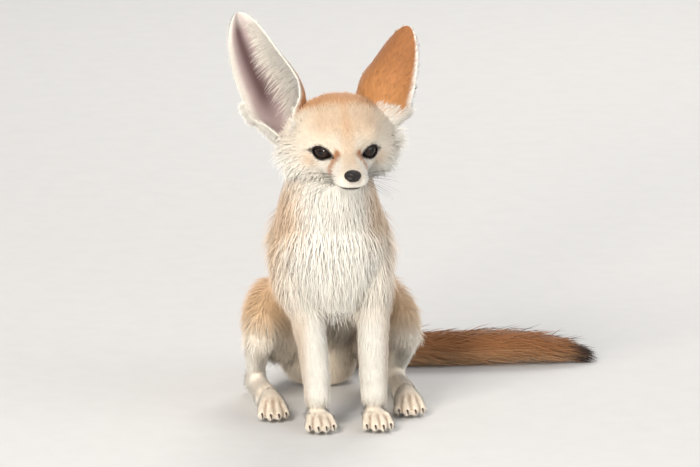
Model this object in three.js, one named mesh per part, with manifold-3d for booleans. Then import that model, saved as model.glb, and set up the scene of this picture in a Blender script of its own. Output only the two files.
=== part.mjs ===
// A sitting fennec fox at life size, in millimetres, +Z up.
// The fox faces -Y and its left side is at +X. The origin is on the floor under the middle of its rump.
// Forms are first laid out round the point on the floor between the shoulders, and moved to that origin at the end.

import * as THREE from "three";
import { mergeVertices } from "three/addons/utils/BufferGeometryUtils.js";
import Module from "manifold-3d";

const wasm = await Module();
wasm.setup();

// Driving dimensions
const GAP = 0.3; // between solids that touch
const SEAT_Y = 62; // from the layout point back to the middle of the rump
const HEAD_AT = new THREE.Vector3(-4, -76, 206); // level with the eyes, between the ears
const EYE_RADIUS = 8.4;
const EYE_OUT = 13.6; // from the middle of the head to an eye's centre
const EYE_FRONT = -20.6; // from the ears forwards to the eyes' centres
const EYE_GAZE = THREE.MathUtils.degToRad(34); // how far each eye looks outwards
const LID_THICKNESS = 1.5;
const PAW_WIDTH = 24;
const TOE_RADIUS = 4.6;
const CLAW_LENGTH = 7;
const CHEEK_SEED = 3;
const THROAT_SEED = 5;
const BREAST_SEED = 8;
const FRINGE_SEED = 13;
const BRUSH_SEED = 21;

const UP = new THREE.Vector3(0, 0, 1);
const BACK = new THREE.Vector3(0, 1, 0);
const at = (x, y, z) => new THREE.Vector3(x, y, z);
const HEAD = new THREE.Matrix4().setPosition(HEAD_AT);

// Turns a geometry into a solid that can be joined and cut.
function solid(geometry) {
  const bare = new THREE.BufferGeometry().setAttribute("position", geometry.getAttribute("position"));
  bare.setIndex(geometry.index);
  const merged = mergeVertices(bare, 1e-4);
  const vertProperties = merged.getAttribute("position").array;
  const triVerts = new Uint32Array(merged.index.array);
  return new wasm.Manifold(new wasm.Mesh({ numProp: 3, vertProperties, triVerts }));
}

// Keeps the largest closed surface of a solid.
function largest(body) {
  return body.decompose().reduce((best, piece) => (piece.volume() > best.volume() ? piece : best));
}

function join(...bodies) {
  return wasm.Manifold.union(bodies.flat());
}

// Cuts neighbours, already grown by the gap, out of a body.
function clear(body, ...neighbours) {
  return largest(neighbours.flat().reduce((left, other) => left.subtract(other), body));
}

// A station of a form: its centre, its half width, and its half heights above and below the centre.
const station = (centre, wide, up, down = up) => ({ centre, wide, up, down });

// Stations mirrored to the other side of the body.
const mirrored = (stations) =>
  stations.map((s) => station(at(-s.centre.x, s.centre.y, s.centre.z), s.wide, s.up, s.down));

// The smooth line and sizes through a list of stations, read at t from 0 to 1.
function sweep(stations, hint = BACK) {
  const line = new THREE.CatmullRomCurve3(stations.map((s) => s.centre));
  const sizes = new THREE.CatmullRomCurve3(stations.map((s) => at(s.wide, s.up, s.down)));
  return (t) => {
    const tangent = line.getTangent(t);
    const side = hint.clone().cross(tangent).normalize();
    return { centre: line.getPoint(t), tangent, side, up: tangent.clone().cross(side), size: sizes.getPoint(t) };
  };
}

// A round closed form strung through stations, with a dome at each end.
// grow makes it larger all over, bumps push its surface softly, and frame places it.
function form(stations, { hint, around = 18, rows = 14, domes = [8, 8], domeRows = 3, ...more } = {}) {
  const { grow = 0, bumps = [], frame } = more;
  const section = sweep(stations, hint);
  const geometry = new THREE.SphereGeometry(1, around, rows);
  const position = geometry.getAttribute("position");
  const uv = geometry.getAttribute("uv");
  for (let i = 0; i < position.count; i++) {
    const row = Math.round((1 - uv.getY(i)) * rows);
    const angle = uv.getX(i) * 2 * Math.PI;
    const start = row < domeRows;
    const inDome = start || row > rows - domeRows;
    const t = THREE.MathUtils.clamp((row - domeRows) / (rows - 2 * domeRows), 0, 1);
    const rise = inDome ? ((start ? row : rows - row) / domeRows) * (Math.PI / 2) : Math.PI / 2;
    const { centre, tangent, side, up, size } = section(t);
    const across = -Math.cos(angle) * Math.sin(rise) * (size.x + grow);
    const lift = Math.sin(angle);
    const height = lift * Math.sin(rise) * ((lift > 0 ? size.y : size.z) + grow);
    const beyond = inDome ? Math.cos(rise) * (domes[start ? 0 : 1] + grow) * (start ? -1 : 1) : 0;
    const point = centre.addScaledVector(tangent, beyond);
    point.addScaledVector(side, across).addScaledVector(up, height);
    pushOut(point, bumps);
    position.setXYZ(i, point.x, point.y, point.z);
  }
  if (frame) geometry.applyMatrix4(frame);
  return solid(geometry);
}

// Moves a point by each bump, less the farther it is from the bump's centre.
function pushOut(point, bumps) {
  for (const { centre, reach, push } of bumps) {
    point.addScaledVector(push, Math.exp(-point.distanceToSquared(centre) / reach ** 2));
  }
}

// A bump of a form's surface, and the same bump on both sides.
const bump = (centre, reach, push) => ({ centre, reach, push });
const bothSides = (centre, reach, push) => [
  bump(centre, reach, push),
  bump(at(-centre.x, centre.y, centre.z), reach, at(-push.x, push.y, push.z)),
];

// A ball, placed in the head's frame when that is given.
function ball(centre, radius, { across, frame }) {
  const geometry = new THREE.SphereGeometry(radius, across, Math.round(across / 2));
  geometry.rotateX(Math.PI / 2).translate(...centre);
  if (frame) geometry.applyMatrix4(frame);
  return solid(geometry);
}

// Locks of hair: flat tapered blades that leave the surface and bend back along the coat's lie.
const LOCK_SINK = 0.24; // of a lock's length, under the surface
const LOCK_RETURN = 0.6; // how much of its rise a lock bends back by its tip
const LOCK_SIDES = 3; // flat below, with a ridge along the top
const LOCK_STEPS = 4;
const LOCK_FLAT = Math.sin(Math.PI / 3); // a three-sided section's half width, for a radius of 1
const vary = (amount) => 1 + amount * (2 * THREE.MathUtils.seededRandom() - 1);

// A place for a lock: a point on a surface, the way out of it and the lie of the coat there.
const spot = (point, out, lie) => ({ point, out, lie });

// The spot on a form's surface at t along it and an angle round it, with hair lying towards its end.
function spotOn(stations, { t, angle, grow = 0, hint, towards = 1, bumps = [] }) {
  const { centre, tangent, side, up, size } = sweep(stations, hint)(t);
  const high = (Math.sin(angle) > 0 ? size.y : size.z) + grow;
  const wide = size.x + grow;
  const point = centre.addScaledVector(side, wide * Math.cos(angle)).addScaledVector(up, high * Math.sin(angle));
  pushOut(point, bumps);
  const out = side.multiplyScalar(Math.cos(angle) / wide).addScaledVector(up, Math.sin(angle) / high).normalize();
  return spot(point, out, tangent.multiplyScalar(towards));
}

// One lock. rise is its slope where it leaves the surface and curl bends it sideways.
function lock({ point, out, lie }, { length, width, thickness = 2, rise = 0.5, curl = 0, ...more }) {
  const { back = LOCK_RETURN, sink = LOCK_SINK, grow = 0 } = more;
  const forward = lie.clone().addScaledVector(out, -lie.dot(out)).normalize();
  const across = forward.clone().cross(out);
  const geometry = new THREE.ConeGeometry(1, 1, LOCK_SIDES, LOCK_STEPS);
  const position = geometry.getAttribute("position");
  for (let i = 0; i < position.count; i++) {
    const along = THREE.MathUtils.clamp(position.getY(i) + 0.5, 0, 1);
    const taper = 1 - along;
    const full = taper > 1e-6 ? 1 / taper : 0;
    const s = along * (1 + sink) - sink;
    const bent = Math.max(s, 0) ** 2;
    const wide = ((width / 2) * Math.sqrt(taper) * (0.8 + 0.55 * along) + 2 * grow) / LOCK_FLAT;
    const thick = (thickness / 2) * (1 - 0.6 * along);
    const beyond = taper < 1e-6 ? 2 * grow : along < 1e-6 ? -grow : 0;
    const place = point.clone().addScaledVector(forward, length * s + beyond);
    place.addScaledVector(out, length * rise * (s - back * bent));
    place.addScaledVector(across, length * curl * bent + wide * position.getX(i) * full);
    place.addScaledVector(out, thick * position.getZ(i) * full);
    position.setXYZ(i, place.x, place.y, place.z);
  }
  if (grow > 0) return lockRoom(position, out, grow);
  const made = solid(geometry);
  return made.volume() < 0 ? solid(turnedOut(geometry)) : made;
}

// The room round a lock: the hull of each of its steps, widened both ways across its flat side.
function lockRoom(position, out, grow) {
  const corners = [];
  const perRow = LOCK_SIDES + 1;
  for (let i = 0; i < (LOCK_STEPS + 1) * perRow; i++) {
    const corner = at(position.getX(i), position.getY(i), position.getZ(i));
    for (const way of [grow, -grow]) corners.push(corner.clone().addScaledVector(out, way).toArray());
  }
  const steps = [];
  for (let step = 0; step < LOCK_STEPS; step++) {
    steps.push(wasm.Manifold.hull(corners.slice(2 * perRow * step, 2 * perRow * (step + 2))));
  }
  return join(steps);
}

// The same geometry with every face turned round.
function turnedOut(geometry) {
  const index = geometry.index.array;
  for (let i = 0; i < index.length; i += 3) [index[i + 1], index[i + 2]] = [index[i + 2], index[i + 1]];
  return geometry;
}

// The space under the floor, which flattens whatever the fox rests on.
const underFloor = solid(new THREE.BoxGeometry(900, 900, 100).translate(0, 0, -50));

// Trunk
const torsoStations = [
  station(at(0, 68, 28), 36, 32, 36),
  station(at(0, 48, 60), 43, 40, 38),
  station(at(-2, 12, 94), 44, 45, 42),
  station(at(-5, -18, 118), 41, 43, 41),
  station(at(-8, -42, 140), 37, 36, 35),
  station(at(-9, -54, 156), 32, 30, 28),
];
const chestStations = [
  station(at(-9, -56, 157), 31, 22, 26),
  station(at(-9, -61, 140), 38, 25, 28),
  station(at(-7, -61, 118), 39, 25, 27),
  station(at(-3, -55, 94), 33, 22, 20),
];
const torsoForms = (grow = 0) => [
  form(torsoStations, { grow, around: 18, rows: 15, domes: [30, 8] }),
  form(chestStations, { grow, around: 16, rows: 11, domes: [14, 15] }),
];

// Half of the room, in front of or behind a plane across the loins, square to the spine.
const LOIN_AT = at(0, -2, 104);
const LOIN_LEAN = 0.75; // the spine's slope there, in radians from upright
function loinSide(side) {
  const box = new THREE.BoxGeometry(400, 400, 400).translate(0, 0, side < 0 ? 200 + GAP / 2 : -200 - GAP / 2);
  box.rotateX(LOIN_LEAN).translate(...LOIN_AT);
  return solid(box);
}

const neckStations = [
  station(at(-10, -50, 148), 33, 30, 31),
  station(at(-10, -57, 170), 36.5, 33, 32),
  station(at(-8, -64, 190), 34, 31, 27),
  station(at(-6, -67, 204), 29, 27, 22),
];
const neckForm = (grow = 0) => form(neckStations, { grow, around: 16, rows: 9, domes: [10, 8] });

// Throat and chest: locks that hang down the front of the neck and the breast in staggered rows
const THROAT_ROWS = [
  { t: 0.66, angles: [-2.7, -2.1, -1.5, -0.9, -0.3], length: 26, width: 20 },
  { t: 0.42, angles: [-3.0, -2.4, -1.8, -1.2, -0.6, 0], length: 27, width: 21 },
];
const BREAST_ROWS = [
  { t: 0.22, angles: [-2.3, -1.8, -1.3, -0.8], length: 31, width: 21 },
  { t: 0.5, angles: [-2.1, -1.55, -1], length: 31, width: 22 },
  { t: 0.74, angles: [-1.85, -1.25], length: 27, width: 20 },
];
const hanging = (rows, stations, towards, size) =>
  rows.flatMap(({ t, angles, length, width }) =>
    angles.map((angle) => {
      const { point, out, lie } = spotOn(stations, { t, angle, towards, grow: size.surface });
      const own = { length: length * vary(0.12), width: width * vary(0.12), curl: 0.25 * (vary(1) - 1) };
      return lock(spot(point.addScaledVector(out, -1), out, lie), { ...own, rise: 0.42, grow: size.grow });
    }),
  );
const COAT_CORE = -2.5; // the core of a long coat, against the tips of its locks
const throatLocks = (grow = 0) => hanging(THROAT_ROWS, neckStations, -1, { surface: COAT_CORE, grow });
const breastLocks = (grow = 0) => hanging(BREAST_ROWS, chestStations, 1, { surface: COAT_CORE, grow });

// Head, in its own frame: the nose points to -Y
const headStations = [
  station(at(0, 32, 5), 22, 22, 20),
  station(at(0, 20, 4), 36, 32, 28),
  station(at(0, 5, 3), 42, 36, 32),
  station(at(0, -9, 1), 37, 33.5, 29.5),
  station(at(0, -19, -1), 28, 27, 24),
  station(at(0, -28, -5), 19.5, 18.5, 18.5),
  station(at(0, -37, -9.5), 13.5, 12, 14),
  station(at(0, -47, -12.3), 11.3, 9.6, 11.8),
  station(at(0, -58, -13.4), 9, 7.2, 8.6),
];
const headBumps = [
  ...bothSides(at(17, -27, 10), 8, at(1.2, -1.4, 1.4)), // brow
  ...bothSides(at(9, -52, -16.5), 6.5, at(2.2, -0.5, -0.6)), // whisker pad
  ...bothSides(at(36, 2, -18), 14, at(4, 0, -3)), // lower cheek
];
const headForm = (grow = 0) =>
  form(headStations, {
    grow,
    hint: UP,
    around: 20,
    rows: 19,
    domes: [12, 4],
    bumps: headBumps,
    frame: HEAD,
  });

// Cheek ruff: locks that fan back and down over the cheeks from behind the whisker pads
const RUFF_ROWS = [
  { t: 0.42, angles: [-0.3, -0.75, -1.2], length: 21, width: 16 },
  { t: 0.3, angles: [0.02, -0.4, -0.82, -1.24], length: 25, width: 17 },
];
const CHEEK_DROOP = 0.6; // how far the cheek locks hang down from pointing straight back
const CHEEK_BACK = 0.25; // the cheek locks stand away from the head to their tips
function cheekLocks(side, grow = 0) {
  return RUFF_ROWS.flatMap(({ t, angles, length, width }) =>
    angles.map((angle) => {
      const round = side > 0 ? angle : Math.PI - angle;
      const { point, out, lie } = spotOn(headStations, { t, angle: round, hint: UP, towards: -1, bumps: headBumps });
      point.applyMatrix4(HEAD);
      lie.add(at(side * 0.35, 0, -CHEEK_DROOP));
      const size = { length: length * vary(0.12), width: width * vary(0.12), curl: 0.12 * (vary(1) - 1) };
      return lock(spot(point.addScaledVector(out, -1), out, lie), { ...size, rise: 0.6, back: CHEEK_BACK, grow });
    }),
  );
}

// Eyes, set in almond openings between lids
function eyeFrame(side) {
  const gaze = new THREE.Matrix4().makeRotationZ(side * EYE_GAZE);
  gaze.setPosition(side * EYE_OUT, EYE_FRONT, 0);
  return HEAD.clone().multiply(gaze);
}
const eyeBall = (side, grow = 0) => ball(at(0, 0, 0), EYE_RADIUS + grow, { across: 14, frame: eyeFrame(side) });
const lidBall = (side) => ball(at(0, 0, 0), EYE_RADIUS + GAP + LID_THICKNESS, { across: 16, frame: eyeFrame(side) });

// The opening between the lids, as a bar of almond section along the gaze.
function lidOpening(side) {
  const inner = at(-8.6 * side, 0, -3);
  const outer = at(8.2 * side, 0, 2);
  const almond = new THREE.Shape();
  almond.moveTo(inner.x, inner.z);
  almond.quadraticCurveTo(-2.5 * side, 9.5, outer.x, outer.z);
  almond.quadraticCurveTo(2 * side, -9.5, inner.x, inner.z);
  const bar = new THREE.ExtrudeGeometry(almond, { depth: 22, bevelEnabled: false, curveSegments: 6 });
  bar.rotateX(Math.PI / 2); // the shape's up becomes +Z, and its depth runs to -Y
  bar.applyMatrix4(eyeFrame(side));
  return solid(bar);
}

// Nose pad with its two nostrils
const NOSE_AT = at(0, -62.5, -10.6);
const nosePad = (grow = 0) =>
  form(
    [
      station(at(0, -58.5, -10), 4.6 + grow, 3.6 + grow, 4.4 + grow),
      station(at(0, -62.5, -10.6), 6 + grow, 4 + grow, 4.4 + grow),
    ],
    { hint: UP, around: 12, rows: 7, domes: [2, 3], frame: HEAD },
  );
const nostril = (side) => ball(at(side * 3.3, NOSE_AT.y - 2.8, NOSE_AT.z - 0.4), 1.5, { across: 8, frame: HEAD });

// Mouth: a thin curved slot parts the lower jaw from the head
const MOUTH_SLOT = 0.8;
const mouthPath = [at(0, -70, -19.6), at(0, -52, -20), at(0, -38, -17.8), at(0, -27, -15)];
function mouthSlot() {
  const curve = new THREE.CatmullRomCurve3(mouthPath).getPoints(10);
  const outline = new THREE.Shape();
  curve.forEach((p, i) => (i ? outline.lineTo(p.y, p.z + MOUTH_SLOT / 2) : outline.moveTo(p.y, p.z + MOUTH_SLOT / 2)));
  outline.lineTo(-27, -40);
  outline.lineTo(-27 - MOUTH_SLOT, -40);
  [...curve].reverse().forEach((p) => outline.lineTo(p.y - (p.y > -28 ? MOUTH_SLOT : 0), p.z - MOUTH_SLOT / 2));
  const bar = new THREE.ExtrudeGeometry(outline, { depth: 80, bevelEnabled: false });
  bar.translate(0, 0, -40);
  bar.applyMatrix4(new THREE.Matrix4().makeBasis(BACK, UP, at(1, 0, 0)));
  bar.applyMatrix4(HEAD);
  return solid(bar);
}

// Ears: a cupped sheet round a back line that runs from root to tip. Each section is an arc,
// nearly a tube at the root and open above, with a radius and half of the angle that it spans.
const EAR_THICKNESS = 2.6;
const EAR_RIM = 1.3;
const EAR_TIP_ROWS = 1.45; // above 1 sets the rows closer together near the tip
const EAR_ROUND_FROM = 0.8; // where along the ear its tip begins to round
const earSection = (radius, halfAngle) => at(radius, THREE.MathUtils.degToRad(halfAngle), 0);
const earSections = [
  earSection(11.5, 150),
  earSection(16.5, 122),
  earSection(22, 94),
  earSection(24.8, 76),
  earSection(25, 66),
  earSection(23.5, 56),
  earSection(20.5, 46),
  earSection(17, 38),
];
const ears = {
  right: {
    line: [at(-24, 24, 4), at(-30, 31, 22), at(-38, 33, 39), at(-49, 31, 56), at(-60, 28, 74), at(-70, 27, 92)],
    opening: at(-0.62, -0.79, 0.1),
    front: 1,
  },
  left: {
    line: [at(17, 6, 4), at(18, 5, 20), at(22, 6, 36), at(31, 8, 51), at(41, 12, 66), at(51, 16, 81)],
    opening: at(0.77, 0.63, -0.1),
    front: -1,
  },
};

// Builds a closed sheet from two faces of points that are split into alike triangles.
function sheet(columns, rows, pointAt) {
  const positions = [];
  const index = [];
  for (const face of [1, -1])
    for (let r = 0; r <= rows; r++)
      for (let c = 0; c <= columns; c++) positions.push(...pointAt(c / columns, r / rows, face));
  const id = (c, r, back) => (back ? (rows + 1) * (columns + 1) : 0) + r * (columns + 1) + c;
  const quad = (a, b, c, d) => index.push(a, b, c, a, c, d);
  for (let r = 0; r < rows; r++)
    for (let c = 0; c < columns; c++) {
      quad(id(c, r, 0), id(c + 1, r, 0), id(c + 1, r + 1, 0), id(c, r + 1, 0));
      index.push(id(c, r, 1), id(c + 1, r + 1, 1), id(c + 1, r, 1), id(c, r, 1), id(c, r + 1, 1), id(c + 1, r + 1, 1));
    }
  for (let r = 0; r < rows; r++) {
    quad(id(0, r, 1), id(0, r, 0), id(0, r + 1, 0), id(0, r + 1, 1));
    quad(id(columns, r, 0), id(columns, r, 1), id(columns, r + 1, 1), id(columns, r + 1, 0));
  }
  for (let c = 0; c < columns; c++) {
    quad(id(c, 0, 1), id(c + 1, 0, 1), id(c + 1, 0, 0), id(c, 0, 0));
    quad(id(c, rows, 0), id(c + 1, rows, 0), id(c + 1, rows, 1), id(c, rows, 1));
  }
  const geometry = new THREE.BufferGeometry();
  geometry.setAttribute("position", new THREE.Float32BufferAttribute(positions, 3));
  geometry.setIndex(index);
  return geometry;
}

// A point of an ear's shell: place runs from -1 to 1 between the rims, along from root to tip.
function earPoint({ line, opening }, place, along, outside) {
  const back = new THREE.CatmullRomCurve3(line);
  const tangent = back.getTangent(along);
  const across = tangent.clone().cross(opening).normalize();
  const open = across.clone().cross(tangent);
  const { x: radius, y: halfAngle } = new THREE.CatmullRomCurve3(earSections).getPoint(along);
  const rounding = Math.max(0, (along - EAR_ROUND_FROM) / (1 - EAR_ROUND_FROM));
  const turn = place * halfAngle * Math.sqrt(1.02 - rounding ** 2);
  const thickness = THREE.MathUtils.lerp(EAR_THICKNESS, EAR_RIM, Math.max(place ** 2, along));
  const out = across.clone().multiplyScalar(Math.sin(turn)).addScaledVector(open, -Math.cos(turn));
  const point = back.getPoint(along).addScaledVector(open, radius);
  point.addScaledVector(out, radius + outside * thickness);
  return { point, out, tangent, across };
}

function earShell(ear) {
  const geometry = sheet(11, 9, (c, r, face) => {
    const along = 1 - (1 - r) ** EAR_TIP_ROWS;
    return earPoint(ear, 2 * c - 1, along, face / 2).point;
  });
  geometry.applyMatrix4(HEAD);
  const made = solid(geometry);
  return made.volume() < 0 ? solid(turnedOut(geometry)) : made;
}

// Fringe: pale locks rooted inside the front rim, lying across the cup towards the other rim and down
const FRINGE_COUNT = 8;
const FRINGE_LOCK = { length: 17, width: 7, thickness: 1.3, rise: 0.75, back: 0.12, sink: 0.05 };
function fringeLocks(ear) {
  const locks = [];
  for (let i = 0; i < FRINGE_COUNT; i++) {
    const along = 0.16 + (0.56 * i) / (FRINGE_COUNT - 1);
    const place = ear.front * 0.84;
    const { point, out, tangent } = earPoint(ear, place, along, -0.25);
    const lie = earPoint(ear, ear.front * 0.3, along, -0.5).point.sub(point).normalize();
    lie.addScaledVector(tangent, -0.45);
    const inward = out.negate();
    const size = { ...FRINGE_LOCK, length: FRINGE_LOCK.length * (1.25 - 0.7 * along) * vary(0.1) };
    locks.push(lock(spot(point.applyMatrix4(HEAD), inward, lie), size));
  }
  return locks;
}

// Legs, as the left one; the right one is mirrored and then placed
const upperArmStations = {
  left: [
    station(at(20, -24, 146), 12, 16, 16),
    station(at(24, -48, 126), 14, 20, 20),
    station(at(24, -60, 106), 14, 17, 18),
    station(at(23, -60, 86), 12.5, 15, 14),
  ],
  right: [
    station(at(-32, -24, 146), 12, 16, 16),
    station(at(-38, -46, 126), 15, 20, 20),
    station(at(-38, -57, 106), 15, 18, 18),
    station(at(-30, -59, 86), 12.5, 15, 14),
  ],
};
const forearmStations = {
  left: [
    station(at(22, -62, 84), 13, 14.5, 13),
    station(at(20.5, -68, 62), 12.2, 12.5, 11.5),
    station(at(20, -74, 38), 11.4, 11, 10.5),
    station(at(20, -79, 20), 11, 10.5, 10),
  ],
  right: [
    station(at(-28, -61, 84), 13, 14.5, 13),
    station(at(-24, -67, 62), 12.2, 12.5, 11.5),
    station(at(-21.5, -73, 38), 11.4, 11, 10.5),
    station(at(-21, -78, 20), 11, 10.5, 10),
  ],
};
const forePawAt = { left: at(20, -82, 9), right: at(-21, -81, 9) };

const thighStations = [
  station(at(20, 58, 54), 22, 30, 34),
  station(at(34, 38, 56), 24, 36, 36),
  station(at(45, 14, 58), 20, 29, 27),
  station(at(52, -7, 60), 14, 16, 17),
];
const shankStations = [
  station(at(54, -8, 54), 12, 13, 13),
  station(at(53, 14, 33), 10, 11, 11),
  station(at(51, 34, 17), 8, 9, 10),
];
const hindFootStations = [
  station(at(51, 40, 10), 8.5, 10, 12),
  station(at(50.5, 8, 10), 8.5, 9.5, 12),
  station(at(50, -22, 10), 10.5, 12, 12),
];
const hindPawAt = { left: at(49.5, -38, 10), right: at(-49.5, -38, 10) };

// A paw: a low pad with four toes in front, each ending in a claw.
function paw(centre, height, grow = 0) {
  const half = PAW_WIDTH / 2;
  const pad = form(
    [
      station(at(centre.x, centre.y + 6, centre.z), half - 2.5, height - centre.z - 1, centre.z + 1),
      station(at(centre.x, centre.y - 7, centre.z - 1), half - 0.8, height - centre.z - 2.5, centre.z + 1),
    ],
    { grow, hint: UP, around: 10, rows: 6, domes: [8, 6], domeRows: 2 },
  );
  const toes = [-1.5, -0.5, 0.5, 1.5].map((place) => {
    const spread = place * (PAW_WIDTH / 4.15);
    const forward = centre.y - (Math.abs(place) < 1 ? 19.5 : 15.5);
    return [toe(centre, spread, forward, grow), claw(centre, spread, forward, grow)];
  });
  return [pad, ...toes.flat()];
}
function toe(centre, spread, forward, grow) {
  const root = at(centre.x + spread * 0.75, centre.y - 6, centre.z + 1.5);
  const tip = at(centre.x + spread, forward, TOE_RADIUS + 0.4);
  const width = TOE_RADIUS - 0.3;
  return form([station(root, width, TOE_RADIUS, TOE_RADIUS + 2), station(tip, width, TOE_RADIUS, TOE_RADIUS)], {
    grow,
    hint: UP,
    around: 6,
    rows: 5,
    domes: [3, 3.4],
    domeRows: 2,
  });
}
function claw(centre, spread, forward, grow) {
  const root = at(centre.x + spread, forward - 1, TOE_RADIUS + 1.6);
  const geometry = new THREE.ConeGeometry(1.3 + grow, CLAW_LENGTH, 4, 1).rotateX(Math.PI / 2);
  geometry.rotateX(Math.PI - 0.35);
  geometry.translate(root.x, root.y - 1.5, root.z - 0.6);
  return solid(geometry);
}

// Tail: lies on the floor towards the fox's left, in three lengths
const tailStations = [
  station(at(1, 84, 30), 12, 12, 12),
  station(at(12, 100, 23), 14, 13, 17),
  station(at(38, 109, 17), 15.5, 14.5, 18),
  station(at(74, 111, 16.5), 17, 15.5, 18),
  station(at(112, 110, 16.5), 17.5, 16, 18),
  station(at(150, 108, 16), 17, 15.5, 17),
  station(at(182, 106, 13.5), 12, 11, 14),
  station(at(200, 105, 9), 5, 5.5, 9),
];
const tailForm = (grow = 0) => form(tailStations, { grow, hint: UP, around: 12, rows: 17, domes: [8, 5] });
const TAIL_CUTS = [62, 138]; // across the tail, from the mid plane
const BRUSH_CORE = -4.5; // the tail's core, against the tips of its locks
const BRUSH_ROWS = 9;
const BRUSH_ROUND = 5;
const BRUSH_LOCK = { length: 34, width: 21, thickness: 3, rise: 0.42, back: 0.5 };
function brushLocks() {
  const locks = [];
  const line = new THREE.CatmullRomCurve3(tailStations.map((s) => s.centre));
  for (let row = 0; row < BRUSH_ROWS; row++)
    for (let round = 0; round < BRUSH_ROUND; round++) {
      const t = line.getUtoTmapping(0.07 + (0.81 * row) / (BRUSH_ROWS - 1), 0);
      const angle = ((round + (row % 2) / 2 + 0.1 * (vary(1) - 1)) / BRUSH_ROUND) * 2 * Math.PI;
      const { point, out, lie } = spotOn(tailStations, { t, angle, hint: UP, grow: BRUSH_CORE });
      if (out.z < -0.5) continue; // none grows into the floor
      const length = BRUSH_LOCK.length * vary(0.14);
      const own = { length, width: BRUSH_LOCK.width * vary(0.12), curl: 0.2 * (vary(1) - 1) };
      locks.push(lock(spot(point.addScaledVector(out, -1), out, lie), { ...BRUSH_LOCK, ...own }));
    }
  return locks;
}
function slab(fromX, toX) {
  const length = toX - fromX - GAP;
  return solid(new THREE.BoxGeometry(length, 200, 200).translate((fromX + toX) / 2, 110, 50));
}

// The nodes' solids, each cut clear of the ones before it
const sides = [
  ["left", 1],
  ["right", -1],
];
const solids = {};
const lids = sides.map(([, side]) => lidBall(side));
const headSocket = sides.map(([, side]) => eyeBall(side, GAP));
for (const [name, side] of sides) solids["eye_" + name] = eyeBall(side);
solids.nose_pad = clear(nosePad(), nostril(1), nostril(-1));

// The same locks, once at their size and once grown by the gap for cutting neighbours.
function grownPair(locks, seed) {
  THREE.MathUtils.seededRandom(seed);
  const plain = join(locks(0));
  THREE.MathUtils.seededRandom(seed);
  return [plain, join(locks(GAP))];
}
const bothCheeks = (grow) => sides.flatMap(([, side]) => cheekLocks(side, grow));
const [cheeks, cheeksGrown] = grownPair(bothCheeks, CHEEK_SEED);
const [throat, throatGrown] = grownPair(throatLocks, THROAT_SEED);
const headGrown = headForm(GAP);
const wholeHead = clear(
  join(headForm(), lids, cheeks.subtract(neckForm(GAP + COAT_CORE))),
  headSocket,
  lidOpening(1),
  lidOpening(-1),
  nosePad(GAP),
);
const parted = wholeHead.subtract(mouthSlot()).decompose();
parted.sort((a, b) => b.volume() - a.volume());
[solids.head, solids.lower_jaw] = parted;
THREE.MathUtils.seededRandom(FRINGE_SEED);
for (const [name] of sides) {
  const ear = join(earShell(ears[name]), fringeLocks(ears[name]));
  solids["ear_" + name] = clear(ear, headGrown, cheeksGrown);
}
const torsoGrown = torsoForms(GAP);
const neckCore = neckForm(COAT_CORE);
solids.neck = clear(join(neckCore, throat), headGrown, cheeksGrown);
const [breast] = grownPair(breastLocks, BREAST_SEED);
const wholeTorso = clear(join(torsoForms(), breast), headGrown, neckForm(COAT_CORE + GAP), throatGrown, underFloor);
solids.torso_front = largest(wholeTorso.intersect(loinSide(-1)));
solids.torso_rear = largest(wholeTorso.intersect(loinSide(1)));
const trunkGrown = [...torsoGrown, neckForm(COAT_CORE + GAP)];
for (const [name, side] of sides) {
  const arm = (grow = 0) => form(upperArmStations[name], { grow, around: 14, rows: 11, domes: [8, 8] });
  const forearm = (grow = 0) => form(forearmStations[name], { grow, around: 12, rows: 11, domes: [6, 5] });
  const ownSide = (stations) => (side > 0 ? stations : mirrored(stations));
  const thigh = (grow = 0) => form(ownSide(thighStations), { grow, hint: UP, around: 16, rows: 12, domes: [14, 10] });
  const shank = (grow = 0) => form(ownSide(shankStations), { grow, hint: UP, around: 12, rows: 8, domes: [6, 6] });
  const foot = (grow = 0) => form(ownSide(hindFootStations), { grow, hint: UP, around: 10, rows: 8, domes: [7, 6] });
  solids["upper_arm_" + name] = clear(arm(), trunkGrown);
  solids["forearm_" + name] = clear(forearm(), trunkGrown, arm(GAP));
  solids["forepaw_" + name] = clear(join(paw(forePawAt[name], 18)), forearm(GAP), underFloor);
  solids["thigh_" + name] = clear(thigh(), trunkGrown, arm(GAP), forearm(GAP), underFloor);
  solids["shank_" + name] = clear(shank(), trunkGrown, thigh(GAP), underFloor);
  solids["hind_foot_" + name] = clear(
    join(foot(), paw(hindPawAt[name], 23)),
    trunkGrown,
    thigh(GAP),
    shank(GAP),
    underFloor,
  );
}
THREE.MathUtils.seededRandom(BRUSH_SEED);
const wholeTail = clear(join(tailForm(BRUSH_CORE), brushLocks()), trunkGrown, underFloor);
solids.tail_base = largest(wholeTail.intersect(slab(-60, TAIL_CUTS[0])));
solids.tail_middle = largest(wholeTail.intersect(slab(TAIL_CUTS[0], TAIL_CUTS[1])));
solids.tail_tip = largest(wholeTail.intersect(slab(TAIL_CUTS[1], 260)));

// Materials
const fur = (color) => new THREE.MeshStandardMaterial({ color, roughness: 0.85, metalness: 0 });
const paleFur = fur(0xe6d9c6);
const sandFur = fur(0xc79a68);
const rustFur = fur(0xb5763d);
const darkFur = fur(0x2e211a);
const wet = (color, roughness) => new THREE.MeshStandardMaterial({ color, roughness, metalness: 0 });
const eyeMaterial = wet(0x1a0f0a, 0.08);
const noseMaterial = wet(0x1d1614, 0.45);

function materialOf(name) {
  if (name.startsWith("eye")) return eyeMaterial;
  if (name === "nose_pad") return noseMaterial;
  if (name === "tail_tip") return darkFur;
  if (name.startsWith("tail")) return rustFur;
  if (name.startsWith("ear") || name.startsWith("torso")) return sandFur;
  return paleFur;
}

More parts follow.
